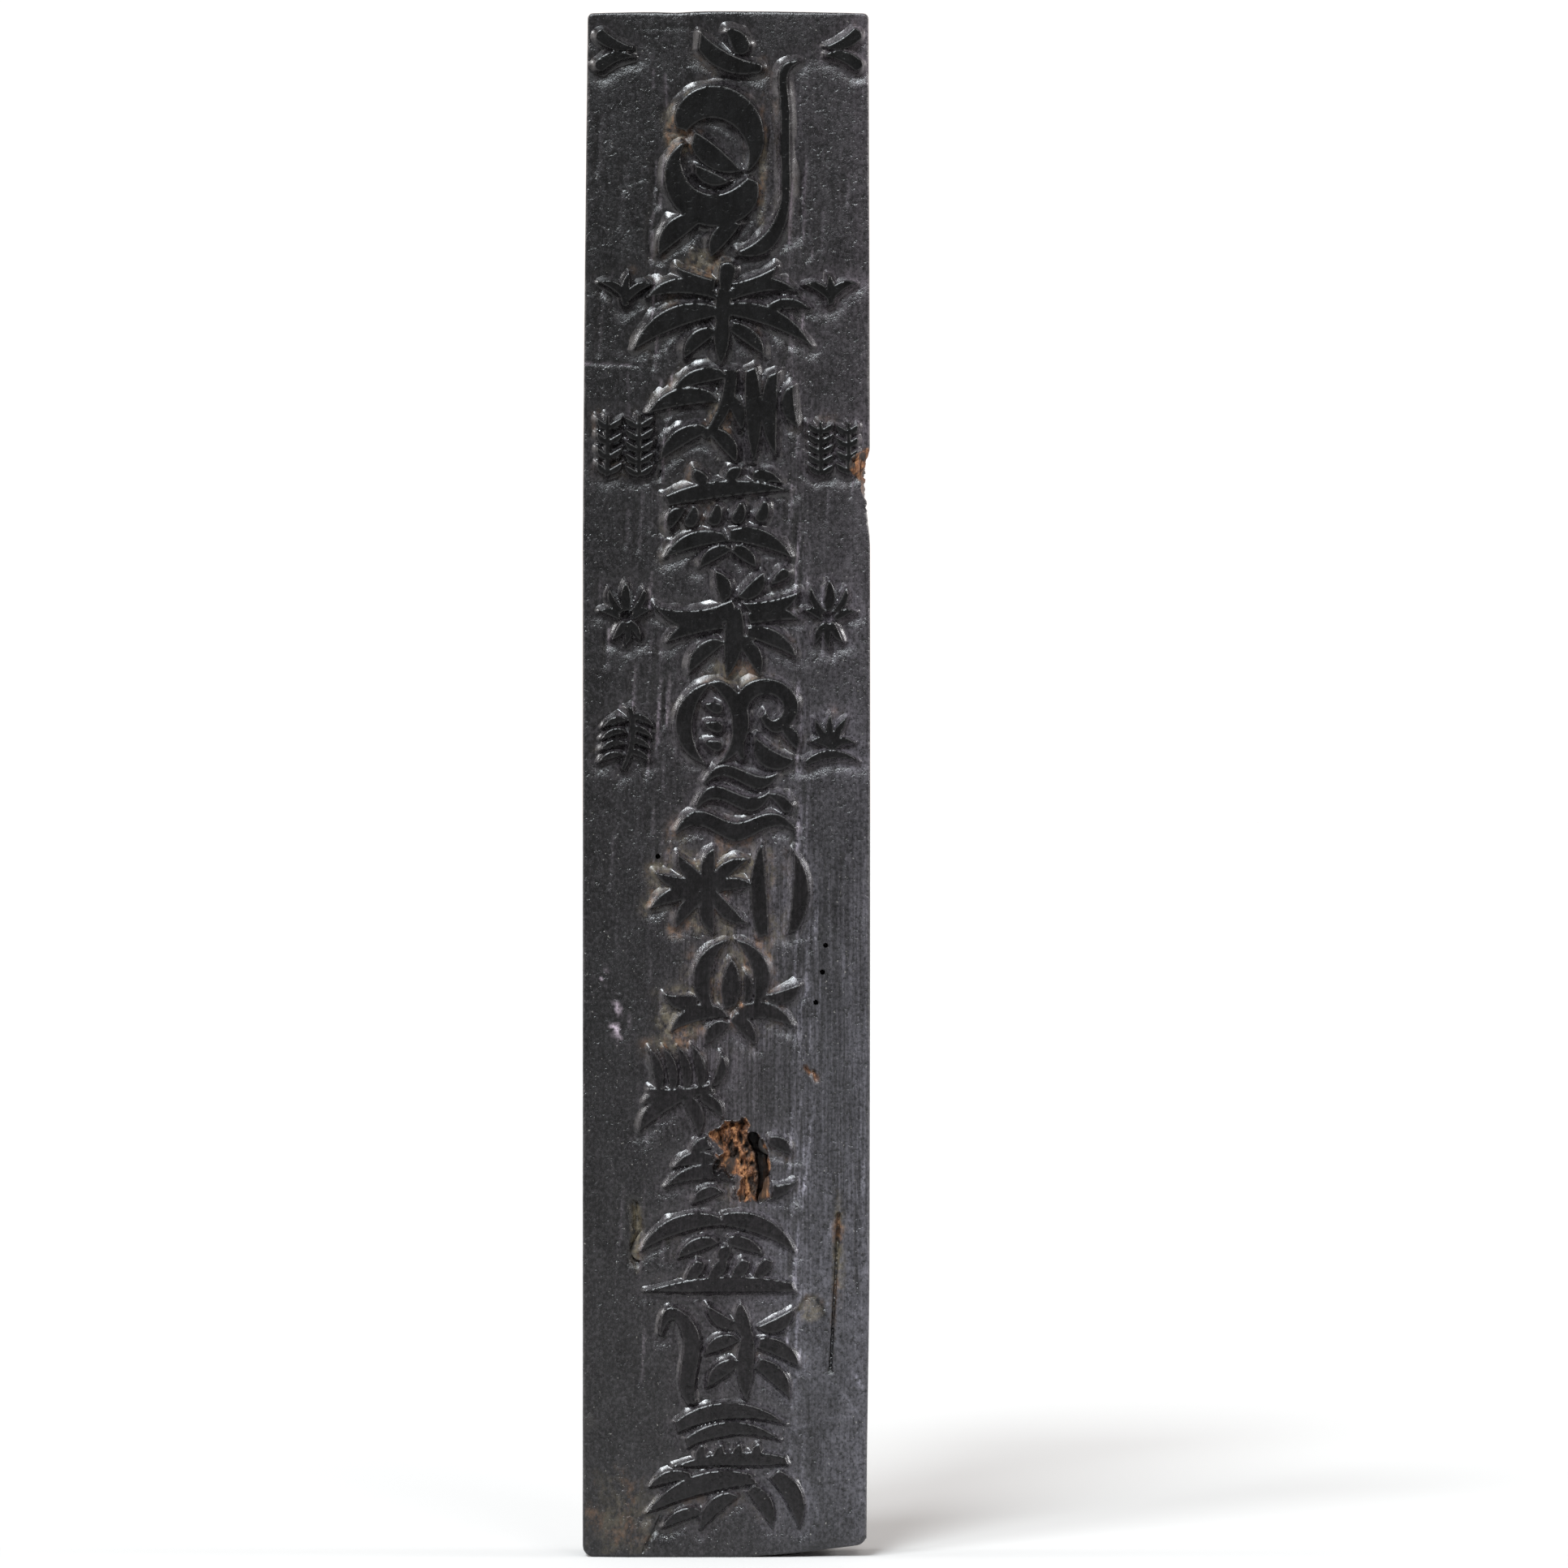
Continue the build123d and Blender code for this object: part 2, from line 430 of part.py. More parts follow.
# ---- the marks, each standing on the ground plane ----------------------------------------
for name, (strokes, *cell) in MARKS.items():
    with BuildPart() as mark:
        with BuildSketch(GROUND):
            for stroke in strokes:
                if isinstance(stroke, list):
                    left, right = ribbon_sides(stroke, cell)
                    with BuildLine():
                        Spline(*left)
                        Line(left[-1], right[-1])
                        Spline(*reversed(right))
                        Line(right[0], left[0])
                    make_face()
                else:
                    left, right, tip = stroke_points(stroke, cell)
                    with BuildLine():
                        ThreePointArc(*left)
                        if left[-1] != right[-1]:
                            ThreePointArc(left[-1], tip, right[-1])
                        ThreePointArc(*reversed(right))
                        Line(right[0], left[0])
                    make_face()
            if name in EATEN:
                with BuildLine():
                    Spline(*nest_mouth(), periodic=True)
                make_face(mode=Mode.SUBTRACT)
        extrude(amount=RELIEF)
    mark.part.label = name
    export_step(mark.part, f"parts/{name}.step")
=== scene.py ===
"""An old wooden printing block with brush-like ornaments, standing on its end on a pale floor.

The CAD frame gives the block's size and the outline of every mark. This script carves the
visible surfaces: sloping flanks, the dips round the marks, knife streaks, worn and eaten wood.
Lengths are millimetres until a mesh is made. x runs to the right from the block's middle,
y from the front to the back, and z up from the foot.
"""

import math

import bpy
import numpy as np
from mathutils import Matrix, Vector
from mathutils.geometry import delaunay_2d_cdt


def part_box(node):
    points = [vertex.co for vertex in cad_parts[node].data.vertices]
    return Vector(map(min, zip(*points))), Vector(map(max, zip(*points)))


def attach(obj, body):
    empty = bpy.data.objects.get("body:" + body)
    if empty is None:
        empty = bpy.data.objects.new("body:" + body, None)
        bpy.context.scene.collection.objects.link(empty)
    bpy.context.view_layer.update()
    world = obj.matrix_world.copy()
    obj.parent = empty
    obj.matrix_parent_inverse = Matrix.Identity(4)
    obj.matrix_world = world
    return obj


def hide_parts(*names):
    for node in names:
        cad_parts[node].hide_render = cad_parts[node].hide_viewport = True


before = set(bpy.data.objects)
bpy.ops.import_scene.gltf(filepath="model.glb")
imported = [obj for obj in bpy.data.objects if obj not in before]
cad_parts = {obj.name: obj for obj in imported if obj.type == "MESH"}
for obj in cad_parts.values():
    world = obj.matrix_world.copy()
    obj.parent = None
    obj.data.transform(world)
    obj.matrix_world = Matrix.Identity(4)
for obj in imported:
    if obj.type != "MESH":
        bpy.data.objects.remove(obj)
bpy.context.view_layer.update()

MM = 0.001
BLOCK = "block"
MARKS = sorted(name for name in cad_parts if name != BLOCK)
SMALL_MARKS = [name for name in MARKS if name.startswith(("left_", "right_"))]

low, high = (np.array(corner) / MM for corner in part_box(BLOCK))
HALF_W, HEIGHT = high[0], high[2]
GROUND_Y, BACK_Y = low[1], high[1]             # the cut-back ground, and the back face
TOP_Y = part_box(MARKS[0])[0].y / MM             # the printing tops of the marks
RELIEF = GROUND_Y - TOP_Y
SKIN = 0.02                                    # keeps every surface just inside the CAD box


# ---- numbers that stay the same from run to run --------------------------------------
def noise(x, z, size_x, size_z, seed):
    """Smooth noise from -1 to 1 whose lumps have the given size."""
    lattice = np.random.default_rng(seed).uniform(-1, 1, (256, 256))
    u, v = x / size_x + 1000.0, z / size_z + 1000.0
    i, j = np.floor(u).astype(int), np.floor(v).astype(int)
    a, b = u - i, v - j
    a, b = a * a * (3 - 2 * a), b * b * (3 - 2 * b)

    def corner(di, dj):
        return lattice[(i + di) % 256, (j + dj) % 256]

    low_row = corner(0, 0) * (1 - a) + corner(1, 0) * a
    high_row = corner(0, 1) * (1 - a) + corner(1, 1) * a
    return low_row * (1 - b) + high_row * b


def layered(x, z, size_x, size_z, seed, layers=3):
    """Noise with finer and weaker noise on top of it."""
    total = np.zeros_like(x)
    for layer in range(layers):
        total += noise(x, z, size_x / 2 ** layer, size_z / 2 ** layer, seed + layer) / 2 ** layer
    return total / (2 - 2 ** (1 - layers))


def ramp(value, start, end):
    """0 before start, 1 after end, smooth between; start may be the larger."""
    t = np.clip((value - start) / (end - start), 0, 1)
    return t * t * (3 - 2 * t)


def bump(distance, reach):
    """1 at distance 0, fading to 0 at about twice the reach."""
    return np.exp(-(distance / reach) ** 2)


# ---- distances in the front view --------------------------------------------------------
def closed(points):
    """The edges of a closed outline through the points."""
    return np.stack([points, np.roll(points, -1, 0)], 1)


def outline_of(node, at_y):
    """The edges (x, z) round the flat faces of a CAD node that lie at one y."""
    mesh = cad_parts[node].data
    count = {}
    for face in mesh.polygons:
        corners = [mesh.vertices[i].co for i in face.vertices]
        if all(abs(c.y / MM - at_y) < 0.01 for c in corners):
            keys = [(round(c.x / MM, 3), round(c.z / MM, 3)) for c in corners]
            for a, b in zip(keys, keys[1:] + keys[:1]):
                edge = (min(a, b), max(a, b))
                count[edge] = count.get(edge, 0) + 1
    return np.array([edge for edge, times in count.items() if times == 1 and edge[0] != edge[1]])


def signed_distance(x, z, edges):
    """Distance to the outline, positive inside it."""
    best = np.full(x.shape, 1e9)
    inside = np.zeros(x.shape, bool)
    for (ax, az), (bx, bz) in edges:
        dx, dz = bx - ax, bz - az
        t = np.clip(((x - ax) * dx + (z - az) * dz) / (dx * dx + dz * dz), 0, 1)
        best = np.minimum(best, (x - ax - t * dx) ** 2 + (z - az - t * dz) ** 2)
        if dz != 0:
            crosses = ((az > z) != (bz > z)) & (x < ax + dx * (z - az) / dz)
            inside ^= crosses
    return np.where(inside, 1, -1) * np.sqrt(best)


def line_distance(x, z, points):
    """Distance to an open line through the points."""
    best = np.full(x.shape, 1e9)
    for (ax, az), (bx, bz) in zip(points, points[1:]):
        dx, dz = bx - ax, bz - az
        t = np.clip(((x - ax) * dx + (z - az) * dz) / (dx * dx + dz * dz), 0, 1)
        best = np.minimum(best, np.hypot(x - ax - t * dx, z - az - t * dz))
    return best


OUTLINES = {name: outline_of(name, TOP_Y) for name in MARKS}


def distance_to_marks(x, z, reach=9.0):
    """Distance to the nearest mark, positive inside it, and no further out than the reach."""
    best = np.full(x.shape, -reach)
    for edges in OUTLINES.values():
        lowest, highest = edges.min((0, 1)) - reach, edges.max((0, 1)) + reach
        near = (x > lowest[0]) & (x < highest[0]) & (z > lowest[1]) & (z < highest[1])
        if near.any():
            best[near] = np.maximum(best[near], signed_distance(x[near], z[near], edges))
    return best


# ---- the block's outline and its damage, as places (x, z) on the front --------------------
# the ragged mouth of the woodworm nest, and the dark gallery down its right-hand side
NEST = np.array([(-5.0, 125.9), (-0.4, 129.4), (5.6, 130.3), (6.9, 128.3), (5.1, 126.6), (9.4, 125.6),
                 (12.2, 121.7), (12.9, 116.3), (12.7, 107.0), (8.9, 105.9), (7.3, 108.1), (6.9, 105.9),
                 (4.0, 105.5), (3.4, 108.1), (4.8, 113.0), (0.7, 114.1), (-0.9, 116.3), (-3.1, 115.0),
                 (-2.8, 119.5), (-0.4, 120.4), (-3.7, 123.4)])
NEST_EDGES = closed(NEST)
GALLERY = [(7.8, 124.5), (10.4, 119.5), (10.9, 113.0), (10.5, 107.0)]
# the long drying crack, a shorter one beside it, a gouge, and a crack across the foot's corner
SHAKE = [(33.4, 102.0), (33.0, 92.0), (32.4, 82.0), (31.6, 68.0), (30.9, 55.0)]
SECOND_SHAKE = [(38.8, 104.0), (38.4, 92.0), (39.0, 78.0)]
GOUGE = [(-27.2, 105.0), (-26.0, 97.0), (-27.0, 88.6)]
FOOT_CRACK = [(-19.4, 12.0), (-21.4, 8.0), (-25.0, 1.5)]
# beetle holes, and short slots where a gallery has broken through to the surface
EXIT_HOLES = [(29.5, 182.0), (28.6, 174.0), (26.6, 165.0), (-20.4, 208.4), (-2.6, 117.6), (-6.5, 119.0)]
SLOTS = [[(23.6, 145.6), (24.8, 144.0)], [(26.0, 144.4), (26.8, 142.0)], [(4.2, 164.6), (5.0, 164.0)]]
# pale crusts beside the column: x, z, width
FLECKS = [(-36.6, 172.0, 2.2), (-32.4, 163.5, 2.0), (-30.8, 156.0, 2.4), (-35.0, 188.6, 1.2),
          (-33.6, 157.6, 1.4)]
# slightly lighter patches, deposits of earth, and the thin brown corner: x, z, width, height
PATCHES = [(25.0, 134.0, 5.0, 30.0), (26.5, 66.0, 5.0, 24.0), (34.0, 24.0, 8.0, 14.0),
           (34.0, 88.0, 6.0, 14.0)]
DEPOSITS = [(-15.0, 424.0, 5.0, 8.0), (-9.0, 432.0, 4.0, 5.0), (-14.0, 158.0, 8.0, 9.0),
            (10.6, 412.0, 1.6, 20.0), (-2.0, 338.0, 4.0, 9.0), (25.2, 74.0, 4.4, 4.0),
            (0.6, 205.0, 12.0, 5.0), (-6.0, 384.0, 8.0, 6.0), (33.4, 92.0, 2.2, 16.0),
            (3.0, 262.0, 12.0, 5.0), (-26.6, 97.0, 1.8, 11.0)]
WORN_CORNER = (-31.0, 11.0, 13.0, 14.0)
# scratches: strength, line
PALE_SCRATCHES = [(1.0, [(-41.4, 355.2), (-25.6, 354.4)]), (0.6, [(-22.0, 446.0), (-21.6, 437.0)]),
                  (0.7, [(-18.2, 441.0), (-17.6, 431.0)]), (0.5, [(-29.6, 330.0), (-29.2, 340.0)]),
                  (0.4, [(31.0, 52.5), (36.0, 47.0), (41.0, 40.5)]),
                  (0.3, [(20.0, 38.0), (29.0, 41.4), (41.5, 42.2)]),
                  (0.6, [(36.6, 58.0), (39.4, 52.0), (41.4, 49.4)]),
                  (0.5, [(-34.0, 382.0), (-33.6, 372.0)]), (0.5, [(-29.4, 352.0), (-29.0, 341.0)])]
DARK_SCRATCHES = [(1.0, [(-27.6, 454.6), (-11.0, 455.2)]), (0.8, [(-33.0, 408.0), (-22.0, 410.4)]),
                  (0.8, [(-30.0, 396.0), (-18.0, 395.2)]), (0.7, [(-34.0, 371.0), (-32.6, 388.0)]),
                  (0.4, [(20.0, 60.0), (23.5, 52.0), (24.6, 38.0), (26.0, 24.0), (30.0, 10.0)]),
                  (1.6, [(21.4, 73.6), (23.2, 76.8), (26.0, 77.6), (28.2, 75.2), (29.0, 71.6)]),
                  (1.6, [(-28.6, 103.0), (-27.8, 96.0), (-29.6, 87.0)])]
# groups of knife streaks: mean x, spread in x, lowest and highest top, how many
STREAK_GROUPS = [(21.5, 2.2, 40, 420, 90), (-20.5, 2.4, 210, 430, 52), (-22.0, 3.0, 90, 200, 16),
                 (30.0, 5.0, 60, 440, 24), (-33.0, 4.0, 60, 440, 20)]
STREAK_LENGTHS = (4, 24)
STREAK_DEPTHS = (0.14, 0.62)
STREAK_LEAN = 0.06                             # sideways drift of a streak along its length

CHIP_LOW, CHIP_DEEPEST, CHIP_TOP = 300.0, 319.0, 330.0
CHIP_BITE = 2.1
FOOT_RISE = 3.9
HOLE_DEPTH = 3.5
GALLERY_DEPTH = 8.5


def right_edge(z):
    """Where the right-hand side is at a height: it draws in a little near both ends."""
    return HALF_W - 0.5 * (2 * z / HEIGHT - 1) ** 2 - 0.6 * ramp(z, 90, 20)


def left_edge(z):
    """Where the left-hand side is at a height: it leans in towards the top."""
    return -HALF_W + 1.5 * np.clip((z - 300) / 160, 0, 1) ** 1.3


def foot_rise(x):
    """The worn foot edge climbs towards its right-hand end."""
    return FOOT_RISE * np.clip((x - 2.0) / (HALF_W - 2.0), 0, 1) ** 1.5


def chip_bite(z):
    """How far the splinter bites into the right-hand edge."""
    return CHIP_BITE * ramp(z, CHIP_TOP, CHIP_TOP - 5) * ramp(z, CHIP_LOW, CHIP_DEEPEST)


def in_chip(x, z):
    """1 on the torn wood beside the chip."""
    reach = 3.6 * ramp(z, 331.0, 327.0) * ramp(z, 319.0, 324.0) + 0.5
    ragged = layered(x, z, 1.6, 4.0, 31)
    inner = HALF_W - reach - chip_bite(z)
    return ramp(x + 0.8 * ragged, inner - 0.2, inner + 0.5) * ramp(z, 304, 308) * ramp(z, 331.5, 330)


def make_streaks():
    """Every knife streak as (x, z of its top, length, depth), drawn group by group."""
    rng = np.random.default_rng(5)
    return [(rng.normal(middle, spread), rng.uniform(first, last), rng.uniform(*STREAK_LENGTHS),
             rng.uniform(*STREAK_DEPTHS))
            for middle, spread, first, last, count in STREAK_GROUPS for _ in range(count)]


STREAKS = make_streaks()


def streaks(x, z):
    """Depth of the knife streaks, each steep on its right side."""
    depth = np.zeros(x.shape)
    for sx, sz, length, deep in STREAKS:
        near = (np.abs(x - sx) < 2.5) & (z < sz + 1) & (z > sz - length - 1)
        if near.any():
            across = x[near] - sx - STREAK_LEAN * (z[near] - sz)
            side = np.where(across > 0, bump(across, 0.45), bump(across, 1.1))
            ends = ramp(z[near], sz - length, sz - length + 3) * ramp(z[near], sz, sz - 1.5)
            depth[near] += deep * side * ends
    return depth


def shake_mouth(x, z):
    """1 in the splintered upper end of the long crack."""
    off = line_distance(x, z, SHAKE) + 0.5 * noise(x, z, 1.4, 5.0, 39)
    return ramp(off, 1.5, 0.5) * ramp(z, 84, 92) * ramp(z, 103, 101)


def hole_distance(x, z):
    """Distance to the middle of the nearest exit hole."""
    return np.min([np.hypot(x - hx, z - hz) for hx, hz in EXIT_HOLES], axis=0)


def nest_rim(x, z):
    """Distance inside the ragged mouth of the woodworm nest."""
    return signed_distance(x, z, NEST_EDGES) + 0.9 * layered(x, z, 1.6, 2.0, 41)


def in_gallery(x, z):
    """1 in the dark worm gallery that curves down the nest's right side."""
    return ramp(line_distance(x, z, GALLERY) + 0.3 * noise(x, z, 1.2, 2.0, 47), 2.0, 1.2)


def crumbs(x, z):
    """The lumps of crumbled wood on the nest's floor."""
    return layered(x, z, 1.5, 2.6, 43, 4)


def nest_depth(x, z):
    """Depth of the nest: a ragged floor of crumbled wood, and the gallery."""
    floor = 3.0 + 3.2 * crumbs(x, z)
    depth = np.clip(nest_rim(x, z) * 3.6, 0, np.maximum(floor, 0.4))
    return np.maximum(depth, GALLERY_DEPTH * in_gallery(x, z))


def relief_at(z):
    """How far the marks stand above the ground, which is cut shallower towards the foot."""
    return 1.25 + 0.65 * ramp(z, 60, 300)


def ground_depth(x, z, to_marks):
    """How deep the carved ground lies below the ground plane of the CAD block."""
    # the gouged ground: broad waves, gouge marks, fine ribs along the grain
    depth = relief_at(z) - RELIEF
    depth += 0.18 * layered(x, z, 17, 34, 11) + 0.12 * layered(x, z, 4.0, 9.0, 17)
    depth += 0.05 * noise(x, z, 1.7, 14.0, 21)
    # a dip round each mark, and deeper ground hidden under it
    out = np.maximum(-to_marks, 0)
    moat = bump(out - 1.9, 1.9) * (0.8 + 0.5 * layered(x, z, 5, 7, 23))
    depth += 0.55 * moat * (out < 8)
    depth += streaks(x, z)
    depth += 0.9 * (to_marks > 0.6)
    # cracks, slots, scratches and the gouge
    for deep, line in ((1.3, SHAKE), (0.5, SECOND_SHAKE)):
        depth += deep * bump(line_distance(x, z, line), 0.4)
    depth += 0.9 * shake_mouth(x, z) * (1 + 0.6 * noise(x, z, 1.2, 4.0, 37))
    for line in SLOTS:
        depth += 1.4 * bump(line_distance(x, z, line), 0.55)
    for strength, line in PALE_SCRATCHES + DARK_SCRATCHES:
        depth += 0.2 * strength * bump(line_distance(x, z, line), 0.45)
    depth += 1.9 * bump(line_distance(x, z, GOUGE) + 0.6 * noise(x, z, 2.0, 3.0, 49), 1.2)
    depth += 0.8 * bump(line_distance(x, z, FOOT_CRACK), 0.6)
    depth += HOLE_DEPTH * ramp(hole_distance(x, z), 0.75, 0.35)
    # the rubbed foot edge on the right, the rounded foot corner on the left, the torn wood
    above_foot = z - foot_rise(x)
    depth += 1.3 * ramp(above_foot, 2.8, 0.0) * ramp(x, 14, 30)
    depth += 0.8 * ramp(np.hypot(x + HALF_W, z), 13, 3)
    depth += 0.6 * in_chip(x, z) * (0.8 + layered(x, z, 1.0, 3.0, 33))
    return depth + nest_depth(x, z)


# ---- surface tones ------------------------------------------------------------------------
# greys (sRGB 0-255) of the ground, ink with painted sheen, at left, middle and right, foot to top
GROUND_TONES_WITH_SHEEN = np.array([[29, 42, 74], [36, 50, 98], [24, 60, 77], [34, 56, 68], [30, 43, 60],
                         [18, 32, 60], [26, 30, 56]], float)
# greys of the printing tops, from the foot to the top
TOP_TONES = np.array([26, 32, 30, 20, 10, 6, 4], float)
DIFFUSE_SHARE = 0.325                          # the rest of each tone is the satin reflection


def linear(grey):
    """sRGB 0-255 to a linear value."""
    return ((grey / 255 + 0.055) / 1.055) ** 2.4


BROWN_WOOD = np.array([linear(74.0), linear(62.0), linear(52.0)])      # sides and back


def tone_at(x, z, table):
    """The table read smoothly over the front."""
    row = np.clip(z / HEIGHT, 0, 1) * (len(table) - 1)
    column = np.clip(x / HALF_W * 1.1 + 1, 0, 2)
    i, j = np.minimum(row.astype(int), len(table) - 2), np.minimum(column.astype(int), 1)
    a, b = row - i, column - j
    return ((table[i, j] * (1 - b) + table[i, j + 1] * b) * (1 - a)
            + (table[i + 1, j] * (1 - b) + table[i + 1, j + 1] * b) * a)


def ground_tint(x, z, to_marks):
    """Inked ground colour: streaks, patches, scratches, crusts, and painted sheen, shade and
    highlights.
    """
    grey = tone_at(x, z, GROUND_TONES_WITH_SHEEN)
    grey = grey * (1 + 0.10 * layered(x, z, 16, 30, 51) + 0.09 * layered(x, z, 4, 8, 53))
    # lighter towards the right edge: painted sheen from the light on the right
    grey = grey * (1 + 0.10 * noise(x, z, 1.8, 2.2, 55)) + 13 * ramp(x, 32, HALF_W)
    # a streak's bottom is darkened with painted shade, its steep right wall lightened with a painted
    # highlight
    grey = grey * (1 - 1.3 * np.clip(streaks(x + 0.3, z) - streaks(x - 0.1, z), 0, 0.5))
    grey = grey + 150 * np.clip(streaks(x - 0.2, z) - streaks(x + 0.2, z), 0, 0.4)
    for px, pz, wide, tall in PATCHES:
        spot = np.hypot((x - px) / wide, (z - pz) / tall) + 0.25 * layered(x, z, 5, 9, 57)
        grey = grey + 9 * ramp(spot, 1.05, 0.93)
    grey = grey * (1 + 0.5 * bump(to_marks + 1.0, 3.0))
    for strength, line in PALE_SCRATCHES:
        off = line_distance(x, z, line)
        grey = grey + 105 * strength * bump(off, 0.5) * ramp(noise(x, z, 3, 2, 59), -0.6, 0.6)
    for px, pz, wide in FLECKS:
        near = bump(np.hypot(x - px, (z - pz) * 0.8), wide)
        grey = grey + 210 * near * ramp(noise(x, z, 1.2, 1.4, 58), 0.0, 0.4)
    for strength, line in DARK_SCRATCHES + [(1.1, SHAKE), (0.7, SECOND_SHAKE), (0.9, FOOT_CRACK)]:
        grey = grey * (1 - 0.55 * strength * bump(line_distance(x, z, line), 0.65))
    # a bluer tint lower on the right: painted sheen from the light on the right
    blue_sheen = ramp(x, -10, 30) * ramp(z, 380, 120)
    # the tint drops to black in the worm gallery and the exit holes: painted shade in these deep holes
    outside_hole_shade = (1 - in_gallery(x, z)) * ramp(hole_distance(x, z), 0.5, 0.9)
    return (DIFFUSE_SHARE * outside_hole_shade * np.stack([linear(grey * (1.02 - 0.03 * blue_sheen)),
                                                  linear(grey * (0.94 + 0.03 * blue_sheen)),
                                                  linear(grey * (1.0 + 0.04 * blue_sheen))])).T


def top_tint(x, z):
    """Colour of the printing tops, where the ink lies thickest."""
    table = np.repeat(TOP_TONES[:, None], 3, 1)
    grey = tone_at(x, z, table) * (1 + 0.06 * layered(x, z, 6, 9, 61))
    return DIFFUSE_SHARE * np.stack([linear(grey * 1.03), linear(grey * 0.91),
                                     linear(grey * 0.99)], -1)


def grain_mask(x, z):
    """Where the wood's vertical grain or the knife's fine marks stand out."""
    worn = ramp(x, -20, -8) * ramp(z, 92, 112) * ramp(z, 222, 196)
    knife = 0.8 * bump(x - 21.5, 3.6) * ramp(z, 60, 130) * ramp(z, 420, 380)
    left_knife = 0.5 * bump(x + 20.5, 3.0) * ramp(z, 225, 250) * ramp(z, 400, 370)
    return np.maximum(worn, np.maximum(knife, left_knife)) * (0.7 + 0.3 * layered(x, z, 9, 30, 77))


def ochre_mask(x, z, to_marks):
    """Where dry earth-coloured deposits have stayed in the recesses."""
    total = np.zeros(x.shape)
    for px, pz, wide, tall in DEPOSITS:
        spot = np.hypot((x - px) / wide, (z - pz) / tall) + 0.5 * layered(x, z, 2.4, 3.4, 71)
        total = np.maximum(total, ramp(spot, 1.15, 0.35))
    # a thin line of earth round some marks, thicker round those at mid height
    close = bump(np.maximum(-to_marks, 0) - 1.4, 1.2) * ramp(layered(x, z, 8, 12, 73), 0.15, 0.7)
    crust = bump(np.maximum(-to_marks, 0) - 1.6, 1.7) * ramp(z, 146, 160) * ramp(z, 226, 208)
    crust = 2.4 * crust * ramp(layered(x, z, 5, 7, 72), -0.25, 0.25) * ramp(x, 20, 12)
    close = np.maximum(close, crust)
    # bare brown wood in the crack, its mouth and the gouge, and at the thin corner
    crack = bump(line_distance(x, z, SHAKE), 0.9) * ramp(noise(x, z, 2, 7, 79), -0.7, 0.5)
    crack = crack * ramp(z, 62, 90)
    crack = np.maximum(crack, np.maximum(bump(line_distance(x, z, GOUGE), 1.3), shake_mouth(x, z)))
    cx, cz, wide, tall = WORN_CORNER
    corner = np.hypot((x - cx) / wide, (z - cz) / tall) + 0.7 * layered(x, z, 3.0, 4.0, 74)
    return np.clip(0.8 * total + 0.36 * close + 0.7 * crack + 0.42 * ramp(corner, 1.1, 0.3), 0, 1)


def bare_mask(x, z):
    """Where the wood is bare and orange-brown: the nest, the chip, the slots, a split edge."""
    # little bare wood in the worm gallery, so it keeps its painted black shade
    mask = ramp(nest_rim(x, z), -0.3, 0.2) * (1 - 0.85 * in_gallery(x, z))
    mask = np.maximum(mask, in_chip(x, z) * ramp(z, 318, 322))
    for line in SLOTS:
        mask = np.maximum(mask, 0.7 * bump(line_distance(x, z, line), 0.6))
    split = np.hypot((x + 41.0) / 2.4, (z - 40.0) / 3.0) + 0.5 * layered(x, z, 1.2, 2.0, 75)
    return np.maximum(mask, 0.55 * ramp(split, 1.0, 0.6))


def bare_shade(x, z):
    """How light the bare wood is, as painted shade: dark between the crumbs and under the nest's right
    side.
    """
    pits = ramp(crumbs(x, z), 0.25, -0.12)
    # painted shadow in the nest's lower left, and painted shade beside the gallery
    left_dark = ramp(x - 0.25 * (z - 116), -0.5, -3.0) * ramp(z, 119.5, 118.0)
    beside = 0.75 * ramp(line_distance(x, z, GALLERY), 3.0, 1.8) * ramp(z, 108, 112) * (x < 11)
    return np.clip(0.10 + 0.95 * pits, 0, 1) * (1 - left_dark) * (1 - beside)


# ---- meshes ---------------------------------------------------------------------------------
RING_STEP = 0.95                               # spacing of the points round the block
FRONT_STEP = 0.86                              # spacing of the points over its front
BACK_ARRIS = 1.5                               # rounding of the back's edges
SMOOTH_ANGLE = math.radians(40)
FOOT_LEFT_R, FOOT_RIGHT_R, TOP_CORNER_R = 3.2, 3.0, 1.6                # corners in the front view
STREAK_ZONES = [(16.0, 27.0, 30, 420), (-26.0, -15.0, 90, 430)]       # x and z ranges


def triangulate(outline, inner):
    """Triangles over the points inside a closed outline, and where each outline point went."""
    corners = [Vector(p) for p in np.concatenate([outline, inner])]
    count = len(outline)
    edges = list(zip(range(count), np.roll(range(count), -1)))
    points, _, faces, origin, _, _ = delaunay_2d_cdt(corners, edges, [], 1, 1e-5)
    place_of = {source: k for k, sources in enumerate(origin) for source in sources}
    return np.array([tuple(v) for v in points]), faces, [place_of[k] for k in range(count)]


def make_piece(name, points, faces, layers, node, material):
    """A mesh object with its surface layers, which takes the place of a CAD node."""
    mesh = bpy.data.meshes.new(name)
    mesh.from_pydata((points * MM).tolist(), [], faces)
    mesh.validate()
    for layer, values in layers.items():
        if values.ndim == 1:
            attribute = mesh.attributes.new(layer, "FLOAT", "POINT")
            attribute.data.foreach_set("value", values.astype(np.float32))
        else:
            attribute = mesh.attributes.new(layer, "FLOAT_COLOR", "POINT")
            rgba = np.concatenate([values, np.ones((len(values), 1))], 1)
            attribute.data.foreach_set("color", rgba.astype(np.float32).ravel())
    mesh.shade_smooth()
    mesh.set_sharp_from_angle(angle=SMOOTH_ANGLE)
    piece = bpy.data.objects.new(name, mesh)
    bpy.context.scene.collection.objects.link(piece)
    mesh.materials.append(material)
    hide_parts(node)
    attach(piece, "root")
    return piece


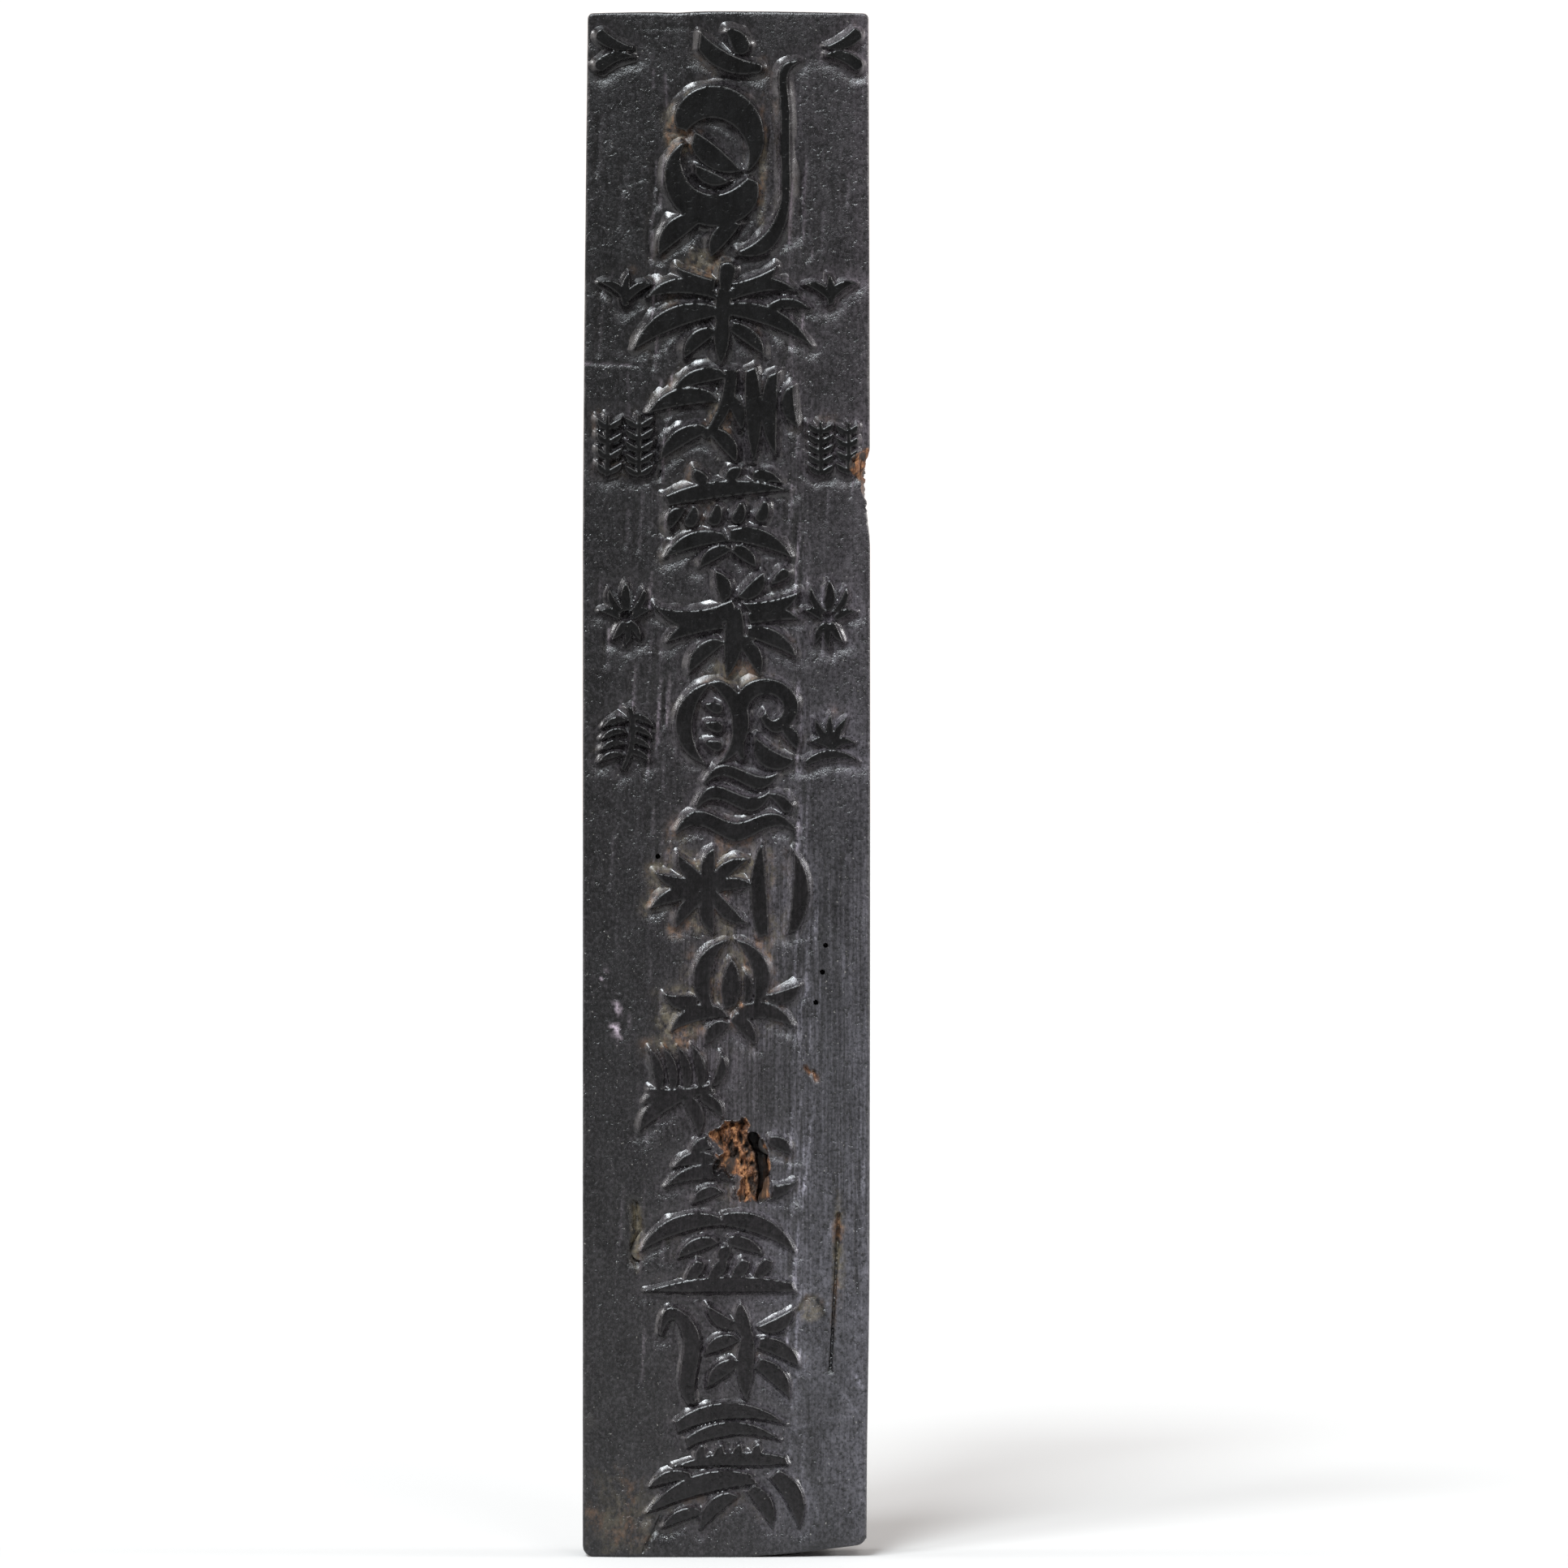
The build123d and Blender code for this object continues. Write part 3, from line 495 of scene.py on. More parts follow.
def block_loop():
    """Points round the block from the foot's left corner, anticlockwise, and outward directions."""
    w = HALF_W - SKIN
    top = HEIGHT - SKIN
    corners = [(-w, SKIN, FOOT_LEFT_R, 180), (w, SKIN, FOOT_RIGHT_R, 270), (w, top, TOP_CORNER_R, 0),
               (-w, top, TOP_CORNER_R, 90)]
    arcs = []
    for cx, cz, radius, first in corners:
        ox, oz = cx - math.copysign(radius, cx), cz + (radius if cz < HEIGHT / 2 else -radius)
        turns = [math.radians(first + 90 * k / 5) for k in range(6)]
        arcs.append([(ox + radius * math.cos(t), oz + radius * math.sin(t)) for t in turns])
    points = []
    for arc, following in zip(arcs, arcs[1:] + arcs[:1]):
        points += arc
        start, end = np.array(arc[-1]), np.array(following[0])
        count = int(np.linalg.norm(end - start) / RING_STEP)
        points += [tuple(start + (end - start) * k / count) for k in range(1, count)]
    x, z = np.array(points).T
    x = np.where(x > 0, x * right_edge(z), -x * left_edge(z)) / HALF_W
    z = np.where(z > HEIGHT / 2, z - 0.7 * (x / HALF_W) ** 2 - 0.3 * bump(x + 15, 5), z)
    tangent = np.roll(np.stack([x, z]), -1, 1) - np.roll(np.stack([x, z]), 1, 1)
    tangent /= np.linalg.norm(tangent, axis=0)
    return x, z, tangent[1], -tangent[0]


def even_field(rng, spacing, x0, x1, z0, z1):
    """Points in staggered rows, each a little out of place."""
    gx, gz = np.meshgrid(np.arange(x0, x1, spacing), np.arange(z0, z1, spacing * 0.866))
    gx = gx + spacing / 2 * (np.arange(gx.shape[0]) % 2)[:, None]
    wobble = rng.uniform(-0.14, 0.14, (2, *gx.shape)) * spacing
    return np.stack([gx + wobble[0], gz + wobble[1]], -1).reshape(-1, 2)


def upright_field(rng, x0, x1, z0, z1):
    """Points close together across the grain and wide apart along it, for the knife streaks."""
    gx, gz = np.meshgrid(np.arange(x0, x1, 0.36), np.arange(z0, z1, 2.6))
    gz = gz + rng.uniform(-0.9, 0.9, gz.shape)
    return np.stack([gx, gz], -1).reshape(-1, 2)


def round_hole(hx, hz):
    """A point in the middle of an exit hole and three rings of eight round it."""
    turns = np.linspace(0, 2 * math.pi, 9)[:-1]
    return np.array([(hx, hz)] + [(hx + r * math.cos(t), hz + r * math.sin(t))
                                  for r in (0.3, 0.55, 0.8) for t in turns])


def beside_line(line):
    """Rows of four points across a line, every 0.7 mm along it."""
    rows = []
    for (ax, az), (bx, bz) in zip(line, line[1:]):
        count = max(2, int(math.hypot(bx - ax, bz - az) / 0.7))
        for k in range(count):
            t = k / count
            rows += [(ax + (bx - ax) * t + off, az + (bz - az) * t)
                     for off in (-0.55, -0.2, 0.2, 0.55)]
    return np.array(rows)


def front_points(loop):
    """Points over the front: an even field, and closer ones in the nest, chip, cracks and holes."""
    rng = np.random.default_rng(3)
    fields = [even_field(rng, FRONT_STEP, -HALF_W, HALF_W, 0, HEIGHT),
              even_field(rng, 0.36, -7, 14.5, 102, 132),
              even_field(rng, 0.4, 35, HALF_W, 317, 333)]
    fields += [upright_field(rng, *zone) for zone in STREAK_ZONES]
    fields += [round_hole(hx, hz) for hx, hz in EXIT_HOLES]
    fields += [beside_line(line) for line in (SHAKE, SECOND_SHAKE, GOUGE, FOOT_CRACK, *SLOTS)]
    fields += [beside_line(line) for strength, line in PALE_SCRATCHES]
    points = np.concatenate(fields)
    inside = signed_distance(points[:, 0], points[:, 1], closed(loop))
    points = points[inside > 0.35]
    # the ground under a mark is hidden, so a quarter of its points is enough
    covered = distance_to_marks(points[:, 0], points[:, 1])
    thinned = (covered < 1.0) | (rng.random(len(points)) < 0.25)
    return points[thinned]


def block_ring(outline, inset, depth_share):
    """The outline drawn in by the inset, at a share of the depth: 0 in front, 1 at the back."""
    x, z, nx, nz = outline
    along = np.arange(len(x)) * RING_STEP
    torn = side_bite(outline) * (1 - 0.12 * depth_share)
    torn = torn * (1 + 0.5 * noise(along, np.full(len(x), depth_share * 22), 0.9, 2.0, 85))
    shift = inset + torn * (1 - inset / 3)
    low_end = (nz < -0.3) | (z < 6)
    worn = foot_rise(x) * (1 - 0.05 * depth_share) * low_end * ramp(z, 5.9, 2.0)
    return x - nx * shift, z - nz * shift + worn


def side_bite(outline):
    """The chip's bite at each point of the outline: none off the right-hand side."""
    x, z, nx, nz = outline
    return np.where(x > 0, chip_bite(z), 0) * (np.abs(nx) > 0.7)


def block_front(loop):
    """The carved front inside the loop: vertices, faces, layers, and the numbers of its rim."""
    points, faces, rim = triangulate(loop, front_points(loop))
    x, z = points[:, 0], points[:, 1]
    to_marks = distance_to_marks(x, z)
    y = GROUND_Y + ground_depth(x, z, to_marks)
    layers = {"tint": ground_tint(x, z, to_marks), "ochre": ochre_mask(x, z, to_marks),
              "bare": bare_mask(x, z), "wall": np.zeros(len(x)), "flank": bump(-to_marks - 0.6, 1.5)}
    return np.stack([x, y, z], -1), [tuple(face) for face in faces], layers, rim


def side_steps(arris, rim_y):
    """Inset and y of each ring from the front's rounded edge to the back's, and its wall share."""
    for degrees in (22, 45, 67, 90):
        turn = math.radians(degrees)
        yield arris * (1 - math.sin(turn)), rim_y + arris * (1 - math.cos(turn)), degrees / 90
    for share in [k / 10 for k in range(1, 10)]:
        y = (rim_y + arris) * (1 - share) + (BACK_Y - SKIN - BACK_ARRIS) * share
        yield np.zeros(len(arris)), y, 1.0
    for degrees in (90, 60, 30, 0):
        turn = math.radians(degrees)
        inset = np.full(len(arris), BACK_ARRIS * (1 - math.sin(turn)))
        yield inset, np.full(len(arris), BACK_Y - SKIN - BACK_ARRIS * (1 - math.cos(turn))), 1.0


def block_sides(outline, arris, rim_y, rim_tint, rim_bare):
    """Rings from the front's rim to the back: for each, its vertices and layers."""
    count = len(outline[0])
    z = outline[1]
    along = np.arange(count) * RING_STEP
    for inset, y, wall in side_steps(arris, rim_y):
        share = float(np.mean((y - GROUND_Y) / (BACK_Y - GROUND_Y)))
        rough = 0.03 + 0.09 * layered(along, y, 26, 2.2, 87) + 0.08 * noise(along, y, 3.0, 1.2, 89)
        rough *= ramp(np.full(count, share), 0.0, 0.12)
        x_in, z_in = block_ring(outline, inset + np.maximum(rough, 0), share)
        worn = ramp(share + 0.25 * layered(along, y, 22, 5, 91), 0.15, 0.85)[:, None]
        torn = np.minimum(side_bite(outline), 1.0) * ramp(np.full(count, share), 0.45, 0.2)
        layers = {"tint": rim_tint * (1 - worn) + BROWN_WOOD * worn, "ochre": np.zeros(count),
                  "bare": np.maximum(torn * ramp(z, 314, 322), rim_bare * max(0, 1 - 3 * share)),
                  "wall": np.full(count, wall), "flank": np.zeros(count)}
        yield np.stack([x_in, y, z_in], -1), layers


def block_back(loop):
    """The back inside its last ring: its own vertices and layers, its triangles, and which
    triangle corners are the ring's points and which are its own."""
    gx, gz = np.meshgrid(np.arange(-HALF_W, HALF_W, 2.0), np.arange(0, HEIGHT, 2.4))
    field = np.stack([gx, gz], -1).reshape(-1, 2)
    edges = closed(loop)
    field = field[signed_distance(field[:, 0], field[:, 1], edges) > 0.8]
    points, faces, rim = triangulate(loop, field)
    on_rim = set(rim)
    inner = [k for k in range(len(points)) if k not in on_rim]
    x, z = points[inner].T
    edge_fade = ramp(signed_distance(x, z, edges), 0, 4)
    sink = (0.25 + 0.22 * layered(x, z, 9, 60, 93) + 0.12 * noise(x, z, 3.0, 24, 95)) * edge_fade
    stain = ramp(layered(x, z, 20, 60, 97), -0.5, 0.6)[:, None]
    none = np.zeros(len(x))
    layers = {"tint": BROWN_WOOD * (0.75 + 0.5 * stain), "ochre": none, "bare": none,
              "wall": np.ones(len(x)), "flank": none}
    return np.stack([x, BACK_Y - SKIN - np.maximum(sink, 0), z], -1), layers, faces, rim, inner


def build_block(material):
    """The block as one closed mesh: the carved front, rings down its sides, then the back."""
    outline = block_loop()
    count = len(outline[0])
    along = np.arange(count) * RING_STEP
    arris = 0.95 + 0.45 * layered(along, along * 0, 12, 1, 81)
    arris = arris + 0.3 * np.abs(noise(along, along * 0, 2.5, 1, 83))

    front, faces, layers, rim = block_front(np.stack(block_ring(outline, arris, 0.0), -1))
    vertices, stores = [front], [layers]
    previous, total = np.array(rim), len(front)
    rings = block_sides(outline, arris, front[rim, 1], layers["tint"][rim], layers["bare"][rim])
    for ring, layers in rings:
        vertices.append(ring)
        stores.append(layers)
        current = total + np.arange(count)
        total += count
        following = np.roll(np.arange(count), -1)
        faces += list(zip(previous, current, current[following], previous[following]))
        previous = current

    back, layers, back_faces, rim, inner = block_back(vertices[-1][:, (0, 2)])
    vertices.append(back)
    stores.append(layers)
    number = {place: previous[k] for k, place in enumerate(rim)}
    number.update({place: total + offset for offset, place in enumerate(inner)})
    faces += [tuple(number[k] for k in reversed(face)) for face in back_faces]

    every = np.concatenate(vertices)
    layers = {name: np.concatenate([store[name] for store in stores]) for name in stores[0]}
    layers["shade"] = bare_shade(every[:, 0], every[:, 2])
    layers["grainy"] = grain_mask(every[:, 0], every[:, 2]) * (1 - layers["wall"])
    faces = [tuple(int(k) for k in face) for face in faces]
    return make_piece("carved_block", every, faces, layers, BLOCK, material)


EDGE_R = 0.32                                  # rounding of a mark's upper edge
SUNK = 1.1                                     # how far a mark runs on below the ground plane
SMALL_STEP, MAIN_STEP = 0.3, 0.38              # spacing of a mark's grid
SMALL_STEEPNESS, MAIN_STEEPNESS = 2.1, 1.5     # slope of its flanks where they start


def cells_inside(keep):
    """The grid's cells that have a corner kept, and the grid points that those cells use."""
    cell = keep[:-1, :-1] | keep[1:, :-1] | keep[:-1, 1:] | keep[1:, 1:]
    used = np.zeros(keep.shape, bool)
    for di in (0, 1):
        for dj in (0, 1):
            used[di:di + cell.shape[0], dj:dj + cell.shape[1]] |= cell
    return cell, used


def close_below(points, faces, floor_y):
    """Adds a wall down from the border of a sheet and a flat underside; gives the border too."""
    sides = dict.fromkeys((a, b) for face in faces for a, b in zip(face, face[1:] + face[:1]))
    border = [(a, b) for a, b in sides if (b, a) not in sides]
    ring = sorted({a for a, b in border})
    below = {k: len(points) + i for i, k in enumerate(ring)}
    under = points[ring].copy()
    under[:, 1] = floor_y
    faces = faces + [(b, a, below[a], below[b]) for a, b in border]
    spot = {k: i for i, k in enumerate(ring)}
    flat = [Vector((points[k][0], points[k][2])) for k in ring]
    cap = delaunay_2d_cdt(flat, [(spot[a], spot[b]) for a, b in border], [], 4, 1e-6)
    if len(cap[0]) == len(ring):
        back = [below[ring[sources[0]]] for sources in cap[3]]
        faces += [tuple(back[k] for k in reversed(face)) for face in cap[2]]
    return np.concatenate([points, under]), faces, len(ring)


def mark_height(x, z, inside, way_x, way_z, steepness, hollow):
    """The y of a mark's worn top, rounded edge and sloping flanks, and of its eaten parts."""
    outward_left = ramp(-(-way_x * 0.85 + way_z * 0.5), 0.1, 1.0)
    facet = 1 + 0.22 * noise(x, z, 3.0, 3.0, 101)
    slope = steepness * facet * (1 - 0.25 * outward_left)
    flank = np.where(inside < 0, EDGE_R + hollow * (1 - np.exp(inside * slope / hollow)), 0)
    from_edge = np.clip(EDGE_R - inside, 0, EDGE_R)
    rounded = EDGE_R - np.sqrt(np.maximum(EDGE_R ** 2 - from_edge ** 2, 0))
    down = np.where(inside >= 0, rounded, flank)
    wear = 0.16 + 0.12 * layered(x, z, 8, 14, 103) + 0.05 * noise(x, z, 1.4, 6, 105)
    eaten = ramp(nest_rim(x, z), -0.9, 0.1) * (RELIEF + SUNK)
    y = TOP_Y + np.minimum(np.maximum(wear, SKIN) + down, relief_at(z) + SUNK)
    return np.minimum(y + eaten, GROUND_Y + SUNK + 0.2)


def build_mark(name, material):
    """One raised mark: a grid over it, drawn to its outline, shaped and closed below."""
    edges = OUTLINES[name]
    small = name in SMALL_MARKS
    step = SMALL_STEP if small else MAIN_STEP
    steepness = SMALL_STEEPNESS if small else MAIN_STEEPNESS
    hollow = relief_at(edges[:, :, 1].max()) + 1.6
    foot = -hollow / steepness * math.log(hollow / 0.7)
    lowest, highest = edges.min((0, 1)) + foot - step, edges.max((0, 1)) - foot + step
    gx, gz = np.meshgrid(np.arange(lowest[0], highest[0], step), np.arange(lowest[1], highest[1], step))
    inside = signed_distance(gx, gz, edges)
    slope_z, slope_x = np.gradient(inside, step)
    length = np.maximum(np.hypot(slope_x, slope_z), 0.3)
    way_x, way_z = slope_x / length, slope_z / length

    # grid points close to the outline or past the foot of the flank move onto it
    cell, used = cells_inside(inside > foot)
    to_edge = np.where(np.abs(inside) < 0.5 * step, -inside, 0)
    to_foot = np.where(inside < foot, foot - inside, 0)
    move = to_edge + to_foot
    x, z = gx + way_x * move, gz + way_z * move
    x = np.clip(x, left_edge(z) + 0.3, right_edge(z) - 0.3 - 1.3 * chip_bite(z))
    inside = inside + move
    y = mark_height(x, z, inside, way_x, way_z, steepness, hollow)

    number = -np.ones(inside.shape, int)
    number[used] = np.arange(used.sum())
    quads = np.stack([number[:-1, :-1], number[:-1, 1:], number[1:, 1:], number[1:, :-1]], -1)[cell]
    points = np.stack([x[used], y[used], z[used]], -1)
    faces = [tuple(int(k) for k in quad) for quad in quads]
    points, faces, border_count = close_below(points, faces, GROUND_Y + SUNK + 0.3)

    inside = np.concatenate([inside[used], np.full(border_count, foot)])
    x, z = points[:, 0], points[:, 2]
    on_top = ramp(inside, -0.25, 0.15)[:, None]
    tint = top_tint(x, z) * on_top + ground_tint(x, z, np.zeros(len(x))) * (1 - on_top)
    layers = {"tint": tint, "ochre": ochre_mask(x, z, -np.maximum(-inside, 0)) * (inside < 0),
              "bare": bare_mask(x, z), "wall": np.zeros(len(x)), "top": on_top[:, 0],
              "flank": 1 - on_top[:, 0], "shade": bare_shade(x, z), "grainy": 0.6 * grain_mask(x, z)}
    return make_piece("carved_" + name, points, faces, layers, name, material)


# ---- finishes ---------------------------------------------------------------------------------
VEIL = (0.043, 0.040, 0.043, 1)                # the grey bloom on old ink
DUST = (0.24, 0.23, 0.21, 1)
OLIVE_EARTH, RUSTY_EARTH = (0.112, 0.091, 0.056, 1), (0.190, 0.092, 0.038, 1)
DARK_WOOD, MIDDLE_WOOD, LIGHT_WOOD = ((0.018, 0.007, 0.004, 1), (0.14, 0.052, 0.018, 1),
                                      (0.42, 0.20, 0.08, 1))
EATEN_SHADE = (0.006, 0.004, 0.003, 1)
FLOOR_PALE, FLOOR_PALER = (0.414, 0.408, 0.403, 1), (0.418, 0.412, 0.407, 1)
# the painted shade of the floor forward of the block
FLOOR_PAINTED_SHADE = (0.04, 0.04, 0.04, 1)


def start_material(name):
    """A new node material with its node tree and its main shader."""
    material = bpy.data.materials.new(name)
    material.use_nodes = True
    return material, material.node_tree, material.node_tree.nodes["Principled BSDF"]


def add(tree, kind, sources=None, **settings):
    """A node with its settings; each source is an input's value or the socket that feeds it."""
    node = tree.nodes.new("ShaderNode" + kind)
    for key, value in settings.items():
        setattr(node, key, value)
    for key, value in (sources or {}).items():
        if isinstance(value, bpy.types.NodeSocket):
            tree.links.new(value, node.inputs[key])
        else:
            node.inputs[key].default_value = value
    return node


def stretched_noise(tree, coords, scale, detail=3.0, rough=0.55):
    """Noise whose scale in lumps per metre differs along x, y and z."""
    mapping = add(tree, "Mapping", {"Vector": coords, "Scale": scale})
    return add(tree, "TexNoise", {"Vector": mapping.outputs[0], "Scale": 1.0, "Detail": detail,
                                  "Roughness": rough}).outputs["Fac"]


def span(tree, value, low_in, high_in, low_out, high_out):
    """The value carried from one range to another, and held at the ends."""
    return add(tree, "MapRange", {"Value": value, "From Min": low_in, "From Max": high_in,
                                  "To Min": low_out, "To Max": high_out}).outputs[0]


def mixed(tree, blend, factor, first, second):
    """Two colours mixed."""
    node = add(tree, "MixRGB", {"Fac": factor, "Color1": first, "Color2": second}, blend_type=blend)
    return node.outputs[0]


def times(tree, first, second):
    """The product of two values."""
    return add(tree, "Math", {0: first, 1: second}, operation="MULTIPLY").outputs[0]


def plus(tree, first, second):
    """The sum of two values."""
    return add(tree, "Math", {0: first, 1: second}, operation="ADD").outputs[0]


def inked_colour(tree, noises, layers):
    """The vertex tint broken up by blotches, pores and grain, with a grey veil and dust specks."""
    tint = add(tree, "Attribute", attribute_name="tint").outputs["Color"]
    fine, grain = noises["fine"], noises["grain"]
    off_top = span(tree, layers["top"], 0.0, 1.0, 1.0, 0.15)
    half_off_top = span(tree, layers["top"], 0.0, 1.0, 1.0, 0.4)
    colour = mixed(tree, "MULTIPLY", 1.0, tint, span(tree, noises["blotch"], 0.3, 0.7, 0.80, 1.22))
    colour = mixed(tree, "MULTIPLY", 1.0, colour, span(tree, fine, 0.3, 0.7, 0.05, 1.95))
    colour = mixed(tree, "MULTIPLY", 1.0, colour, span(tree, noises["pits"], 0.3, 0.42, 0.45, 1.0))
    colour = mixed(tree, "MULTIPLY", 1.0, colour, span(tree, grain, 0.35, 0.65, 0.72, 1.24))
    colour = mixed(tree, "MULTIPLY", layers["grainy"], colour, span(tree, grain, 0.42, 0.58, 0.6, 1.5))
    wide = span(tree, noises["wide_grain"], 0.3, 0.7, 0.6, 1.4)
    colour = mixed(tree, "MULTIPLY", layers["wall"], colour, wide)
    veil = times(tree, span(tree, fine, 0.48, 0.64, 0.0, 0.30), off_top)
    colour = mixed(tree, "MIX", veil, colour, VEIL)
    dust = times(tree, span(tree, noises["speck"], 0.735, 0.765, 0.0, 0.5), half_off_top)
    return mixed(tree, "MIX", dust, colour, DUST)


def eaten_colour(tree, noises, layers):
    """Crumbled bare wood: orange-brown fibres, darkened with painted shade where the worm has gone
    deep.
    """
    wood = add(tree, "ValToRGB", {"Fac": noises["fibre"]})
    first, last = wood.color_ramp.elements
    first.position, first.color = 0.36, DARK_WOOD
    last.position, last.color = 0.66, LIGHT_WOOD
    middle = wood.color_ramp.elements.new(0.50)
    middle.color = MIDDLE_WOOD
    return mixed(tree, "MIX", layers["shade"], EATEN_SHADE, wood.outputs[0])


def surface_height(tree, noises, layers):
    """Fine relief: smoother on flanks and tops, ribbed where the grain or the fibres stand out."""
    grain, fine, top = noises["grain"], noises["fine"], layers["top"]
    height = plus(tree, times(tree, grain, 0.5), times(tree, fine, span(tree, top, 0.0, 1.0, 0.8, 0.4)))
    height = plus(tree, height, span(tree, noises["pits"], 0.3, 0.42, 0.0, 0.35))
    height = times(tree, height, span(tree, layers["flank"], 0.0, 1.0, 1.0, 0.25))
    height = times(tree, height, span(tree, top, 0.0, 1.0, 1.0, 0.6))
    for noise_name, layer, strength in (("grain", "grainy", 1.8), ("wide_grain", "wall", 1.4),
                                        ("fibre", "bare", 2.4)):
        ribs = times(tree, noises[noise_name], layers[layer])
        height = plus(tree, height, times(tree, ribs, strength))
    return height


def carved_wood(name, roughness, top_roughness):
    """Ink-blackened wood: mottled tint, grain, dust specks, deposits and bare eaten wood."""
    material, tree, shader = start_material(name)
    coords = add(tree, "TexCoord").outputs["Object"]
    layers = {layer: add(tree, "Attribute", attribute_name=layer).outputs["Fac"]
              for layer in ("ochre", "bare", "wall", "top", "grainy", "flank", "shade")}
    noises = {"blotch": stretched_noise(tree, coords, (160, 160, 90), 5.0, 0.62),
              "fine": stretched_noise(tree, coords, (1050, 1050, 880), 3.0, 0.75),
              "pits": stretched_noise(tree, coords, (620, 620, 540), 2.0, 0.5),
              "grain": stretched_noise(tree, coords, (1500, 1500, 26), 4.0, 0.6),
              "wide_grain": stretched_noise(tree, coords, (420, 420, 9), 3.0, 0.5),
              "speck": stretched_noise(tree, coords, (1100, 1100, 1100), 2.0, 0.4),
              "crumb": stretched_noise(tree, coords, (500, 500, 420), 4.0, 0.7),
              "fibre": stretched_noise(tree, coords, (900, 900, 240), 5.0, 0.75)}

    deposit = times(tree, layers["ochre"], span(tree, noises["crumb"], 0.38, 0.62, 0.0, 1.0))
    rusty = span(tree, noises["blotch"], 0.50, 0.60, 0.0, 0.9)
    earth = mixed(tree, "MIX", rusty, OLIVE_EARTH, RUSTY_EARTH)
    colour = inked_colour(tree, noises, layers)
    colour = mixed(tree, "MIX", times(tree, deposit, 0.62), colour, earth)
    colour = mixed(tree, "MIX", layers["bare"], colour, eaten_colour(tree, noises, layers))
    tree.links.new(colour, shader.inputs["Base Color"])

    matt = span(tree, layers["top"], 0.0, 1.0, roughness, top_roughness)
    matt = plus(tree, matt, span(tree, noises["blotch"], 0.3, 0.7, -0.05, 0.06))
    for extra, strength in ((layers["flank"], -0.03), (deposit, 0.25), (layers["bare"], 0.40)):
        matt = plus(tree, matt, times(tree, extra, strength))
    tree.links.new(matt, shader.inputs["Roughness"])
    tree.links.new(span(tree, layers["top"], 0.0, 1.0, 0.5, 0.34), shader.inputs["Specular IOR Level"])

    relief = add(tree, "Bump", {"Height": surface_height(tree, noises, layers), "Strength": 0.7,
                                "Distance": 0.00035})
    tree.links.new(relief.outputs[0], shader.inputs["Normal"])
    return material


def pale_floor():
    """A plain matt floor, darkened forward of the block with painted shade like the dark room in front
    of it.
    """
    material, tree, shader = start_material("pale_floor")
    coords = add(tree, "TexCoord").outputs["Object"]
    shade = stretched_noise(tree, coords, (3, 3, 3))
    pale = mixed(tree, "MIX", shade, FLOOR_PALE, FLOOR_PALER)
    forward = add(tree, "SeparateXYZ", {"Vector": coords}).outputs["Y"]
    # painted shade on the floor forward of the block
    pale = mixed(tree, "MIX", span(tree, forward, -0.15, -1.3, 0.0, 0.80), pale, FLOOR_PAINTED_SHADE)
    tree.links.new(pale, shader.inputs["Base Color"])
    shader.inputs["Roughness"].default_value = 0.9
    shader.inputs["Specular IOR Level"].default_value = 0.1
    return material


# ---- the stage ----------------------------------------------------------------------------------
WHITE = (1, 1, 1)
# big soft sources: name, degrees to the left of the camera's side and above the horizon,
# softness in degrees, strength, colour
SUNS = [("left_key", 19, 45, 17, 3.9, (0.93, 1.0, 1.04)),
        ("left_second", 43, 54, 14, 2.0, (0.96, 1.0, 1.03)),
        ("right_fill", -26, 44, 22, 0.9, WHITE),
        ("left_side", 90, 30, 13, 1.1, WHITE),
        ("right_side", -88, 22, 11, 1.4, WHITE)]
ROOM_COLOUR = (1.0, 0.955, 0.935, 1)
CAMERA_AWAY = 2.0                              # metres in front of the printing tops
FRAMED = 1.013                                 # picture height over the block's height


def add_sun(name, from_left, elevation, softness, strength, colour):
    """Adds one of the SUNS, aimed at the block."""
    light = bpy.data.lights.new(name, "SUN")
    light.color = colour
    light.angle = math.radians(softness)
    light.energy = strength
    lamp = bpy.data.objects.new(name, light)
    turn, rise = math.radians(from_left), math.radians(elevation)
    lamp.location = (-math.sin(turn) * math.cos(rise), -math.cos(turn) * math.cos(rise), math.sin(rise))
    lamp.rotation_euler = (-lamp.location).to_track_quat("-Z", "Y").to_euler()
    bpy.context.scene.collection.objects.link(lamp)


